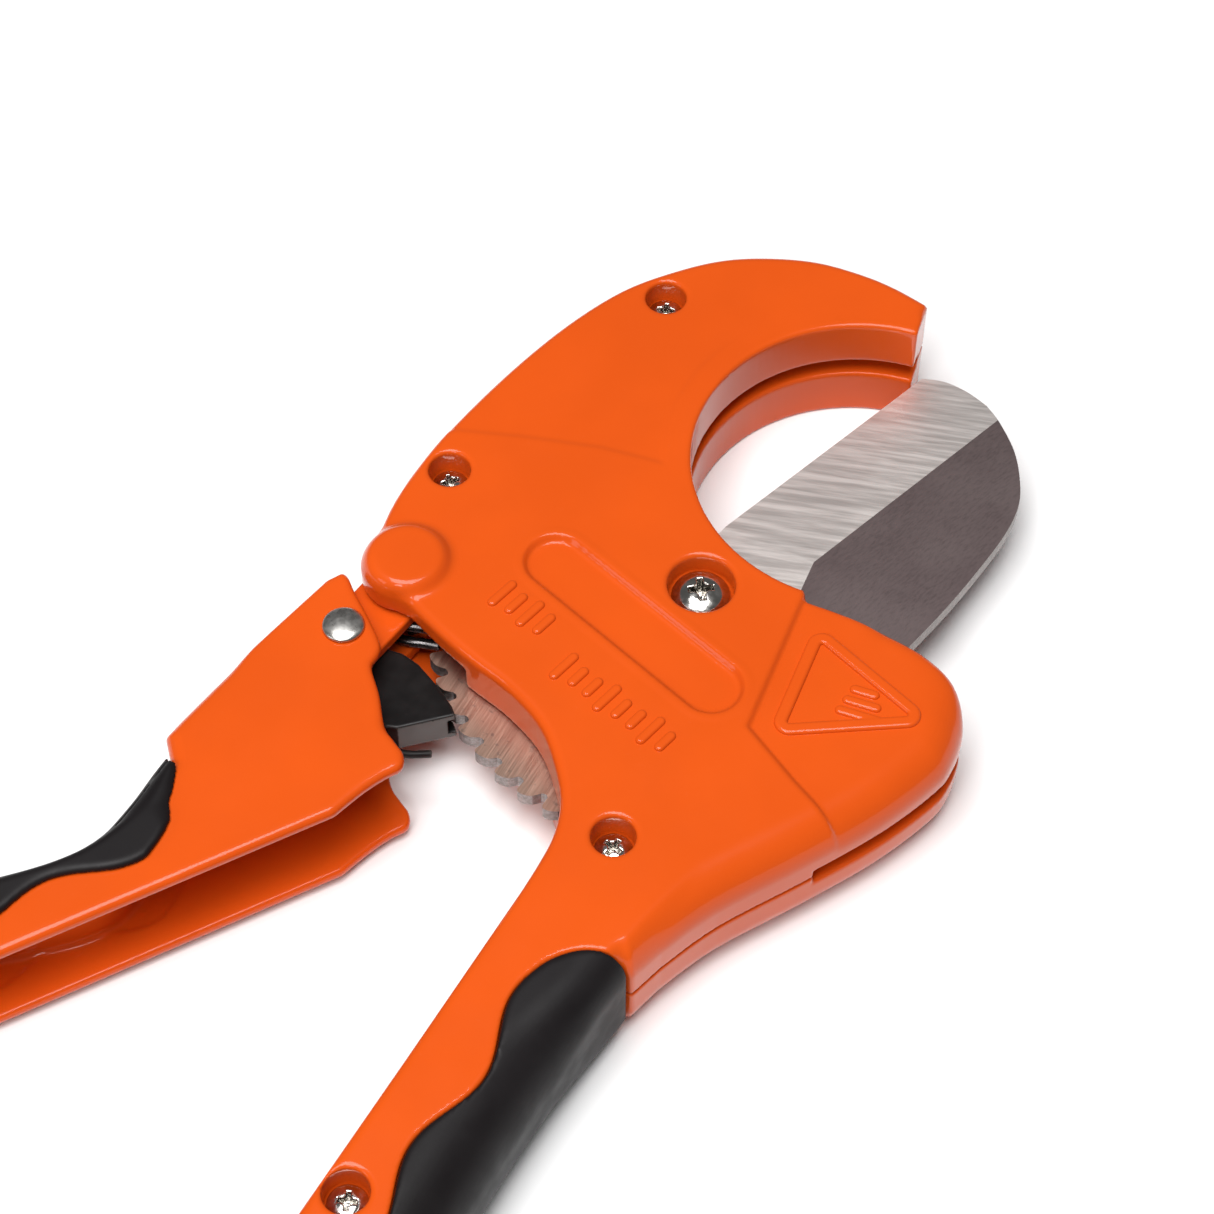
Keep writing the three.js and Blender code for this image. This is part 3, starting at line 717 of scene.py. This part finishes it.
def carve_rooms(field, body):
    """The body without the blade's slot and the link's room."""
    body = carve(body, field.slab(blade_space(field), -SLOT, SLOT), 0.5)
    return carve(body, field.slab(link_space(field), -LINK_ROOM, LINK_ROOM, 0.8), 0.5)


def front_shell():
    field = Field((-267.5, -58, -1), (85.2, 61.6, BOSS_TOP + 0.8), FINE)
    body = field.below(body_plan(field), FRONT + relief(field), edge_rounding(field))
    body = np.maximum(body, grip_core(field))
    boss = field.slab(field.circle((PIN.x - 0.2, PIN.y - 0.6), 7.7), 4, BOSS_TOP - 0.7, 2.0)
    body = melt(body, boss, 2.2)
    body = np.maximum(body, SEAM - field.Z)
    body = carve_rooms(field, body)
    for place in SCREWS.values():
        body = carve(body, field.slab(field.circle(place.xy, RECESS), SCREW_SEAT, 30, 0.6), 0.7)
    body = carve(body, field.slab(field.circle((0, 0), 6.3), PIVOT_SEAT, 30, 0.6), 0.9)
    piece = add_surface("front_casting", field, body, PAINT)
    stands_for(piece, "frame", "orange_paint", "front_shell")


def rear_shell():
    field = Field((-267.5, -58, REAR - 1), (85.2, 61.6, 0.6), FINE)
    body = field.slab(body_plan(field), REAR, 20, edge_rounding(field))
    body = np.maximum(body, grip_core(field))
    body = np.maximum(body, SEAM + field.Z)
    body = carve_rooms(field, body)
    body = carve(body, field.slab(field.hexagon(6.0), REAR - 10, -7.6, 0.2), 0.7)
    rings = [field.circle(place.xy, 4.4) for place in SCREWS.values()] + [field.circle(PIN.xy, 7.2)]
    for flat_ring in rings:
        groove = np.hypot(flat_ring[:, :, None], field.Z - REAR) - 0.5
        body = carve(body, groove, 0.5)
    piece = add_surface("rear_casting", field, body, PAINT)
    stands_for(piece, "frame", "orange_paint", "rear_shell")


# ---------------------------------------------------------------- raised marks of the front face

MARK = 0.2  # grid of the marks
TRIANGLE = [(-1, -25.7), (-18.6, -28.3), (-6.9, -45.5)]  # inner edge of the rim
STROKE = 1.9  # width of the small marks


def raised(field, flat, level, height):
    """A mark standing on the face at a level, with a round top."""
    return field.slab(flat, level - 0.6, level + height, min(0.7, height))


def bar(field, centre, turn, length):
    half = (length - STROKE) / 2
    return field.capsule(polar(turn, half, centre), polar(turn + 180, half, centre), STROKE / 2)


def scale_marks():
    """Plain graduations beside the plaque: a long row and a short one."""
    field = Field((-43, -19, FRONT - 0.7), (-13, 37, FRONT + 1.1), MARK)

    def graduation(first, i, length):
        return bar(field, (first[0] - 0.72 * i, first[1] - 3.4 * i), -12, length)

    bars = [graduation((-28.9, 12.4), i, 7.2 if i % 3 == 0 else 5) for i in range(8)]
    bars += [graduation((-20.5, 30.5), i, 7.2 - 1.6 * (i % 2)) for i in range(4)]
    body = raised(field, np.min(bars, 0), FRONT, 0.62)
    piece = add_surface("scale_marks", field, body, PAINT)
    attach(piece, "frame")


def triangle_mark():
    """A raised triangular rim on the blade cover, with plain ribs inside."""
    level = FRONT - COVER_DROP
    field = Field((-26, -54, level - 0.7), (6, -18, level + 1.1), MARK)
    rim = np.abs(field.plan(TRIANGLE) - 1.6) - 1.25
    ribs = [bar(field, (-6.2 - 2.5 * i, -37 - 0.7 * i), -80, 5.6 + 1.7 * i) for i in range(3)]
    body = np.minimum(raised(field, rim, level, 0.7), raised(field, np.min(ribs, 0), level, 0.6))
    piece = add_surface("triangle_mark", field, body, PAINT)
    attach(piece, "frame")


# ---------------------------------------------------------------- grips and moving handle


def fixed_grip():
    field = Field((-247.5, -29.5, REAR - 1), (-74.5, -12.5, GRIP_TOP + 0.8), FINE)
    flat = field.plan(fixed_grip_outline())
    back = fixed_outer(field.X) - field.Y
    rounding = 7.6 + 3.4 * ramp(field.X, -82, -100)
    block = np.maximum(field.slab(flat, REAR, GRIP_TOP, 0.9), field.slab(back, REAR, GRIP_TOP, rounding))
    core = field.slab(field.plan(body_outline()) + 0.9, -10.1, 10.1, 5)
    piece = add_surface("fixed_grip_moulding", field, carve(block, core, 0.2), RUBBER)
    stands_for(piece, "frame", "grip_rubber", "fixed_handle_grip")


def handle_across(field):
    """How far each point of the plan is across the moving handle, from its inner edge outwards."""
    return (field.X - HANDLE_START[0]) * HANDLE_ALONG[1] - (field.Y - HANDLE_START[1]) * HANDLE_ALONG[0]


CHANNEL_HALF = 11.4
CHANNEL_INNER = 8.8


def plan_box(outline, margin=1.5):
    points = np.array(outline)
    return points.min(0) - margin, points.max(0) + margin


def moving_handle():
    outline = handle_outline()
    low, high = plan_box(outline)
    field = Field((*low, -CHANNEL_HALF - 1), (*high, CHANNEL_HALF + 1), FINE)
    flat = field.plan(outline)
    across = handle_across(field)
    rounding = 1.3 + 1.4 * ramp(across, 9, 14) * ramp(field.X, -52, -60)
    body = field.slab(flat, -CHANNEL_HALF, CHANNEL_HALF, rounding)
    inset = GRIP_SKIN + 3
    back = [on_handle(s, n - inset) for s, n in smooth(HANDLE_BACK[1:])]
    mouth = [
        on_handle(198, 15), on_handle(198, -20), (-46, 10), (-10, 50), (-30, 72), (-50, 72), (-50.5, 59.4),
        (-72, 61),
    ]
    inner = CHANNEL_INNER + 0.5 * ramp(field.plan(moving_grip_outline()), 0.7, -0.7)[:, :, None]
    channel = field.slab(field.plan(back + mouth), -inner, inner, 1.8)
    body = carve(body, channel, 1.0)
    body = carve(body, field.bore(RIVET.xy, RIVET_HOLE), 0.3)
    piece = add_surface("handle_channel", field, body, PAINT)
    stands_for(piece, "moving_handle", "orange_paint", "moving_handle")


def moving_grip():
    outline = moving_grip_outline()
    low, high = plan_box(outline)
    half = -REAR
    field = Field((*low, -half - 1), (*high, half + 1), FINE)
    across = handle_across(field)
    rounding = 1.0 + 3.6 * ramp(across, 9, 15)
    block = field.slab(field.plan(outline), -half, half, rounding)
    core = field.slab(field.plan(handle_outline()) - 0.3, -CHANNEL_HALF - 0.3, CHANNEL_HALF + 0.3)
    piece = add_surface("moving_grip_moulding", field, carve(block, core, 0.2), RUBBER)
    stands_for(piece, "moving_handle", "grip_rubber", "moving_handle_grip")


# ---------------------------------------------------------------- blade


class Slope:
    """A plane over the plan: its height rises by slope for each millimetre along direction."""

    def __init__(self, start, direction, height, slope):
        self.a, self.b = (slope * part for part in Vector(direction).normalized())
        self.c = height - self.a * start[0] - self.b * start[1]

    def __call__(self, x, y):
        return self.a * x + self.b * y + self.c

    def meets(self, other):
        """A point and a direction across the line where two planes are level."""
        across = Vector((self.a - other.a, self.b - other.b, 0))
        return across * (other.c - self.c) / across.length_squared, across


HEEL, POINT = (22.2, 6.6), (74.4, -9.5)
EDGE_HALF = 0.14
ALONG = Vector((POINT[0] - HEEL[0], POINT[1] - HEEL[1])).normalized()
FLAT = Slope((0, 0), (1, 0), BLADE_HALF, 0)
BEVEL = Slope(HEEL, (ALONG.y, -ALONG.x), EDGE_HALF, (BLADE_HALF - EDGE_HALF) / 18.2)
HEEL_FACET = Slope(HEEL, (0.136, -0.991), EDGE_HALF, (BLADE_HALF - EDGE_HALF) / 18.84)
RUN_OUT = Slope((10.5, 0), (-1, 0), BLADE_HALF, 0.35)
TEETH = 17
TOOTH_PITCH = 6.55
FIRST_TOOTH = 129.8
GRAIN_CHANGE = -5  # where the plate's grain turns, under the body


def blade_half_height(x, y):
    if BEVEL(x, y) <= HEEL_FACET(x, y):
        return min(BLADE_HALF, BEVEL(x, y))
    return min(BLADE_HALF, max(HEEL_FACET(x, y), RUN_OUT(x, y)))


def blade_outline():
    hub = [HEEL, (19, 7.1)] + arc((0, 0), 9.4, 50, 125, 16) + [polar(127.4, 43.6), polar(128.3, 47.2)]
    tooth = [
        (-0.8, 48.7), (-0.72, 49.7), (-0.6, 50.6), (-0.3, 50.95), (0.2, 51.05), (1, 50.95), (2, 50.6),
        (2.9, 50.1), (3.6, 49.3), (4, 48.7), (4.6, 48.4), (5.3, 48.4),
    ]
    teeth = [
        polar(FIRST_TOOTH + i * TOOTH_PITCH + turn, radius) for i in range(TEETH) for turn, radius in tooth
    ]
    rear = smooth([(-26.5, -39), (-14, -34.6), (0, -35), (14.5, -37.1)])
    back = smooth([
        (14.5, -37.1), (24, -38.8), (35, -40.2), (46.3, -41), (54, -40.2), (60, -37.6), (65.8, -33.6),
        (70.8, -28.1), (73.6, -24),
    ], 8)
    nose = smooth([(73.6, -24), (75.2, -19), (75.6, -13.8), POINT], 8)
    return hub + teeth + rear[:-1] + back[:-1] + nose


def blade():
    work = bmesh.new()
    for loop in (blade_outline(), arc((0, 0), BLADE_HOLE, 0, 360, 48)[:-1]):
        corners = [work.verts.new((x, y, 0)) for x, y in loop]
        for a, b in zip(corners, corners[1:] + corners[:1]):
            work.edges.new((a, b))
    bmesh.ops.triangle_fill(work, edges=work.edges[:], use_beauty=True, normal=(0, 0, 1))
    creases = [
        FLAT.meets(BEVEL), FLAT.meets(HEEL_FACET), BEVEL.meets(HEEL_FACET), FLAT.meets(RUN_OUT),
        RUN_OUT.meets(HEEL_FACET), (Vector((GRAIN_CHANGE, 0, 0)), Vector((1, 0, 0))),
    ]
    for place, across in creases:
        bmesh.ops.bisect_plane(work, geom=work.verts[:] + work.edges[:] + work.faces[:], dist=1e-4,
                               plane_co=place, plane_no=across)
    top = {v: work.verts.new((v.co.x, v.co.y, blade_half_height(v.co.x, v.co.y))) for v in work.verts[:]}
    for vert in top:
        vert.co.z = -top[vert].co.z
    faces = work.faces[:]
    rim = [edge for edge in work.edges if edge.is_boundary]
    for edge in rim:
        start, end = [loop.vert for loop in (edge.link_loops[0], edge.link_loops[0].link_loop_next)]
        work.faces.new((start, end, top[end], top[start])).material_index = 2
    for face in faces:
        lid = work.faces.new([top[v] for v in face.verts])
        centre = face.calc_center_median()
        ground = blade_half_height(centre.x, centre.y) < BLADE_HALF - 1e-3
        toothed = centre.x < GRAIN_CHANGE
        lid.material_index = face.material_index = 1 if ground else 3 if toothed else 0
        face.normal_flip()
    sharp = math.radians(50)
    corners = [edge for edge in work.edges if edge.is_manifold and edge.calc_face_angle() > sharp]
    bmesh.ops.bevel(
        work, geom=corners, offset=0.12, segments=2, affect="EDGES", clamp_overlap=True, material=2,
    )
    bmesh.ops.recalc_face_normals(work, faces=work.faces[:])
    work.transform(Matrix.Translation(ORIGIN) @ Matrix.Scale(MM, 4))
    mesh = bpy.data.meshes.new("blade_plate")
    work.to_mesh(mesh)
    work.free()
    mesh.shade_smooth()
    mesh.set_sharp_from_angle(angle=math.radians(20))
    for material in (PLATE_STEEL, BEVEL_STEEL, RIM_STEEL, TOOTH_STEEL_PAINTED_REFLECTION):
        mesh.materials.append(material)
    piece = bpy.data.objects.new("blade_plate", mesh)
    bpy.context.scene.collection.objects.link(piece)
    stands_for(piece, "blade", "blade_steel", "blade")


# ---------------------------------------------------------------- turned pieces and wire


def turned(name, centre, profile, material, sides=72):
    """A turned piece. Its (radius, height) profile starts and ends on the axis, or closes on itself."""
    solid = profile[0][0] == 0
    rings = profile[1:-1] if solid else profile
    vertices = [(*polar(360 * k / sides, r, centre), z) for r, z in rings for k in range(sides)]
    faces = []
    for i in range(len(rings) - 1 if solid else len(rings)):
        j = (i + 1) % len(rings)
        for k in range(sides):
            m = (k + 1) % sides
            faces.append((i * sides + k, i * sides + m, j * sides + m, j * sides + k))
    if solid:
        first, last = len(vertices), len(vertices) + 1
        vertices += [(centre[0], centre[1], profile[0][1]), (centre[0], centre[1], profile[-1][1])]
        end = (len(rings) - 1) * sides
        for k in range(sides):
            m = (k + 1) % sides
            faces += [(first, m, k), (last, end + k, end + m)]
    piece = add_mesh(name, vertices, faces, material)
    piece.data.set_sharp_from_angle(angle=math.radians(38))
    return piece


def dome(radius, base, height, steps=10):
    """Profile of a domed head, from its rim to its crown."""
    return [
        (radius * math.cos(math.pi / 2 * i / steps), base + height * math.sin(math.pi / 2 * i / steps))
        for i in range(steps + 1)
    ]


def handle_rivet():
    rear = REAR
    seat = 11.7
    front = [(3.7, seat), (3.9, seat + 0.15)] + dome(3.9, seat + 0.25, -rear - seat - 0.25)
    profile = [(r, -z) for r, z in reversed(front)] + [(2.4, -seat), (2.4, seat)] + front
    piece = turned("rivet_domed", RIVET.xy, [(0, rear)] + profile[1:-1] + [(0, -rear)], SATIN_NICKEL)
    stands_for(piece, "link", "nickel", "handle_rivet")


def washer(name, node, body, slot, inner, material):
    """A flat ring with eased edges, in the node's place."""
    low, high = (design(corner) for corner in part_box(node))
    centre = (low + high) / 2
    outer = (high.x - low.x) / 2
    ease = 0.15
    profile = [
        (inner + ease, low.z), (outer - ease, low.z), (outer, low.z + ease), (outer, high.z - ease),
        (outer - ease, high.z), (inner + ease, high.z), (inner, high.z - ease), (inner, low.z + ease),
    ]
    stands_for(turned(name, centre.xy, profile, material), body, slot, node)


# radii of the spring wires
RETURN_WIRE = 1.02
PAWL_WIRE = 0.75
HOLDING_WIRE = 0.5


def wire(name, points, radius, material, around=16):
    """Round wire along the points, with slightly eased cut ends."""
    path = np.array(points, float)
    ease = radius * 0.2
    ends = [(path[0] - path[1]), (path[-1] - path[-2])]
    ends = [end / np.linalg.norm(end) for end in ends]
    after_start = path[0] - ends[0] * ease
    before_end = path[-1] - ends[1] * ease
    path = np.concatenate([[path[0]], [after_start], path[1:-1], [before_end], [path[-1]]])
    radii = np.full(len(path), radius)
    radii[0] = radii[-1] = radius - ease
    tangents = np.gradient(path, axis=0)
    tangents /= np.linalg.norm(tangents, axis=1)[:, None]
    side = np.cross(tangents[0], (0.31, 0.17, 0.93))
    vertices = []
    for centre, along, size in zip(path, tangents, radii):
        side = side - along * (side @ along)
        side /= np.linalg.norm(side)
        up = np.cross(along, side)
        for k in range(around):
            a = 2 * math.pi * k / around
            vertices.append(centre + size * (side * math.cos(a) + up * math.sin(a)))
    faces = []
    for i in range(len(path) - 1):
        ring, next_ring = i * around, (i + 1) * around
        for k in range(around):
            after = (k + 1) % around
            faces.append((ring + k, ring + after, next_ring + after, next_ring + k))
    first, last = len(vertices), len(vertices) + 1
    vertices += [path[0], path[-1]]
    end = (len(path) - 1) * around
    for k in range(around):
        m = (k + 1) % around
        faces += [(first, m, k), (last, end + k, end + m)]
    piece = add_mesh(name, vertices, faces, material)
    piece.data.set_sharp_from_angle(angle=math.radians(50))
    return piece


def lift(route, height):
    return [(x, y, height) for x, y in route]


def springs():
    """A stout return spring on each side of the link, and the thin springs of the two pawls."""
    height = 2.55
    coil = arc(PIN.xy, 5.4, -150, 170, 48)
    leg = smooth([(-28.5, 51.2), (-29.9, 49.2), (-29.8, 46.8), (-28.7, 43.7), (-27.5, 40.3)], 6)
    for side, name in ((1, "return_spring_front"), (-1, "return_spring_rear")):
        piece = wire(f"{name}_wire", lift(coil + leg, height * side), RETURN_WIRE, SPRING)
        stands_for(piece, "link", "black_oxide", name)

    route = smooth([(-48, 49.2, 2), (-50.8, 42.4, 2), (-52.8, 36.8, 2), (-53.8, 33.4, 1.6), (-52.8, 31, 1),
                    (-50.4, 27.8, 0.4)], 6)
    piece = wire("pawl_spring_wire", route, PAWL_WIRE, BLACK)
    stands_for(piece, "drive_pawl", "black_oxide", "pawl_spring")
    leaf = smooth([(-54.3, -24.6, 0), (-54.6, -27, 0), (-51.2, -29.8, 0)], 6)
    piece = wire("holding_spring_wire", leaf, HOLDING_WIRE, BLACK)
    stands_for(piece, "holding_pawl", "black_oxide", "holding_pawl_spring")


# ---------------------------------------------------------------- link, pawls and fasteners

EAR_LOW, EAR_HIGH, EAR_RADIUS = 3.6, 6.4, 6.2
SMALL = 0.25


def link():
    field = Field((-48, 43, -7), (-15.5, 59.5, 7), SMALL)
    ear = field.capsule(RIVET.xy, PIN.xy, EAR_RADIUS)
    web = field.plan([(-36.2, 55), (-30.5, 55), (-30.5, 57.2), (-36.2, 57.6)])
    body = np.minimum(field.slab(ear, EAR_LOW, EAR_HIGH, 0.6), field.slab(ear, -EAR_HIGH, -EAR_LOW, 0.6))
    body = melt(body, field.slab(web, -EAR_LOW - 1, EAR_LOW + 1), 1.2)
    for place, radius in ((PIN.xy, SHAFT_HOLE), (RIVET.xy, RIVET_HOLE)):
        body = carve(body, field.bore(place, radius), 0.3)
    stands_for(add_surface("link_plates", field, body, PAINT), "link", "orange_paint", "link")


# The blade's pivot as the pawl sees it: before, half way through and at the end of a squeeze
TOOTH_PATH = [(0, 0), (4.1, 8), (6.3, 16)]


def drive_pawl():
    """A block with a cheek on each side of the ratchet plate, and its working edge between them."""
    half = EAR_LOW - 0.15
    field = Field((-53, 26, -half - 0.6), (-33.5, 58, half + 0.6), SMALL)
    hub = field.circle(RIVET.xy, 4.6)
    cheek = field.plan([
        (-42.7, 27.3), (-41.3, 28.9), (-38.9, 33.2), (-36.4, 39.2), (-35.8, 43), (-37, 49.4), (-44.6, 54),
        (-51.2, 37), (-50.4, 35),
    ])
    body = field.slab(melt(hub, cheek, 2), -half, half, 0.35)
    for seen_pivot in TOOTH_PATH:
        passing = field.slab(field.circle(seen_pivot, 51.4), -BLADE_HALF - 0.3, BLADE_HALF + 0.3)
        body = carve(body, passing, 0.3)
    body = carve(body, field.bore(RIVET.xy, RIVET_HOLE), 0.3)
    stands_for(add_surface("drive_pawl_block", field, body, BLACK), "drive_pawl", "black_oxide", "drive_pawl")


def holding_pawl():
    half = BLADE_HALF
    centre = SCREWS["neck_screw"].xy
    field = Field((-60.5, -31, -half - 0.6), (-42, -8, half + 0.6), SMALL)
    outline = [(centre.x + 1, centre.y - 4), polar(205, 57.6), polar(206, 52.6), polar(209.6, 51.5),
               polar(211, 55), polar(202.6, 59.6), polar(195, 59.4), (centre.x - 3.8, centre.y - 1)]
    plan = np.minimum(field.circle(centre, 4.2), field.plan(outline))
    body = carve(field.slab(plan, -half, half, 0.3), field.bore(centre, 2.05), 0.3)
    piece = add_surface("holding_pawl_plate", field, body, BLACK)
    stands_for(piece, "holding_pawl", "black_oxide", "holding_pawl")


def cross_recess(field, top, reach, turn):
    """A tapered cross recess about the axis x = y = 0."""
    a = math.radians(turn)
    across = np.abs(field.X * math.cos(a) + field.Y * math.sin(a))[:, :, None]
    along = np.abs(field.Y * math.cos(a) - field.X * math.sin(a))[:, :, None]
    depth = top - field.Z
    long, short = np.maximum(across, along), np.minimum(across, along)
    wings = np.maximum(long - reach + 0.42 * depth, short - 0.24 * reach + 0.1 * depth)
    core = np.hypot(across, along) - 0.56 * reach + 0.4 * depth
    return np.maximum(np.minimum(wings, core), depth - 1.25 * reach)


def domed_screw(head, base, height, shank, end, reach, turn, cell):
    """Vertices and faces of a domed screw with a cross recess, about the axis x = y = 0."""
    margin = head + 4 * cell
    field = Field((-margin, -margin, end - 3 * cell), (margin, margin, base + height + 4 * cell), cell)
    radius = np.hypot(field.X, field.Y)[:, :, None]
    crown = (radius / head) ** 2.1 + (np.maximum(field.Z - base - 0.4, 0) / (height - 0.4)) ** 2
    cap = np.maximum((np.sqrt(crown) - 1) * height * 0.8, base - field.Z)
    pole = np.maximum(radius - shank, np.maximum(end - field.Z, field.Z - base - 1))
    pole = np.maximum(pole, (radius - shank + end + 1.2 - field.Z) / math.sqrt(2))
    body = carve(melt(cap, pole, 0.3), cross_recess(field, base + height, reach, turn), 0.22)
    return surface(field, body)


def add_copy(name, shape, centre, material):
    vertices, faces = shape
    return add_mesh(name, vertices + np.array((centre[0], centre[1], 0)), faces, material)


def fasteners():
    for i, (node, centre) in enumerate(SCREWS.items()):
        shape = domed_screw(3.6, SCREW_SEAT + 0.15, 2.2, 1.75, -9, 1.8, 20 + 31 * i, 0.13)
        piece = add_copy(f"{node}_head", shape, centre, NICKEL)
        stands_for(piece, "frame", "nickel", node)
    shape = domed_screw(5.6, PIVOT_SEAT + 0.2, 3.3, 3, -12, 2.6, 37, 0.16)
    piece = add_copy("blade_pivot_screw_head", shape, (0, 0), NICKEL)
    stands_for(piece, "frame", "nickel", "blade_pivot_screw")


def pivot_nut():
    field = Field((-7.2, -7.2, -12.8), (7.2, 7.2, -7.3), SMALL)
    body = field.slab(field.hexagon(5.45), -12.2, -7.9, 0.1)
    body = np.maximum(body, (field.circle((0, 0), 6.1)[:, :, None] * 0.6 - (field.Z + 12.2) * 0.8))
    body = carve(body, field.bore((0, 0), SHAFT_HOLE), 0.4)
    stands_for(add_surface("pivot_nut_hex", field, body, NICKEL), "frame", "nickel", "blade_pivot_nut")


def pin_and_bush():
    low, high = (design(corner).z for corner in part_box("link_pin"))
    ease = 0.3
    profile = [(0, low), (3 - ease, low), (3, low + ease), (3, high - ease), (3 - ease, high), (0, high)]
    stands_for(turned("link_pin_turned", PIN.xy, profile, NICKEL), "frame", "nickel", "link_pin")
    washer("pivot_bush_turned", "blade_pivot_bush", "frame", "bronze", SHAFT_HOLE, BRONZE)
    for side in ("front", "rear"):
        washer(f"pivot_ring_{side}", f"pivot_washer_{side}", "frame", "nickel", BLADE_HOLE, NICKEL)
        washer(f"rivet_ring_{side}", f"rivet_washer_{side}", "link", "nickel", RIVET_HOLE, NICKEL)


front_shell()
rear_shell()
scale_marks()
triangle_mark()
fixed_grip()
moving_handle()
moving_grip()
blade()
handle_rivet()
springs()
link()
drive_pawl()
holding_pawl()
fasteners()
pivot_nut()
pin_and_bush()
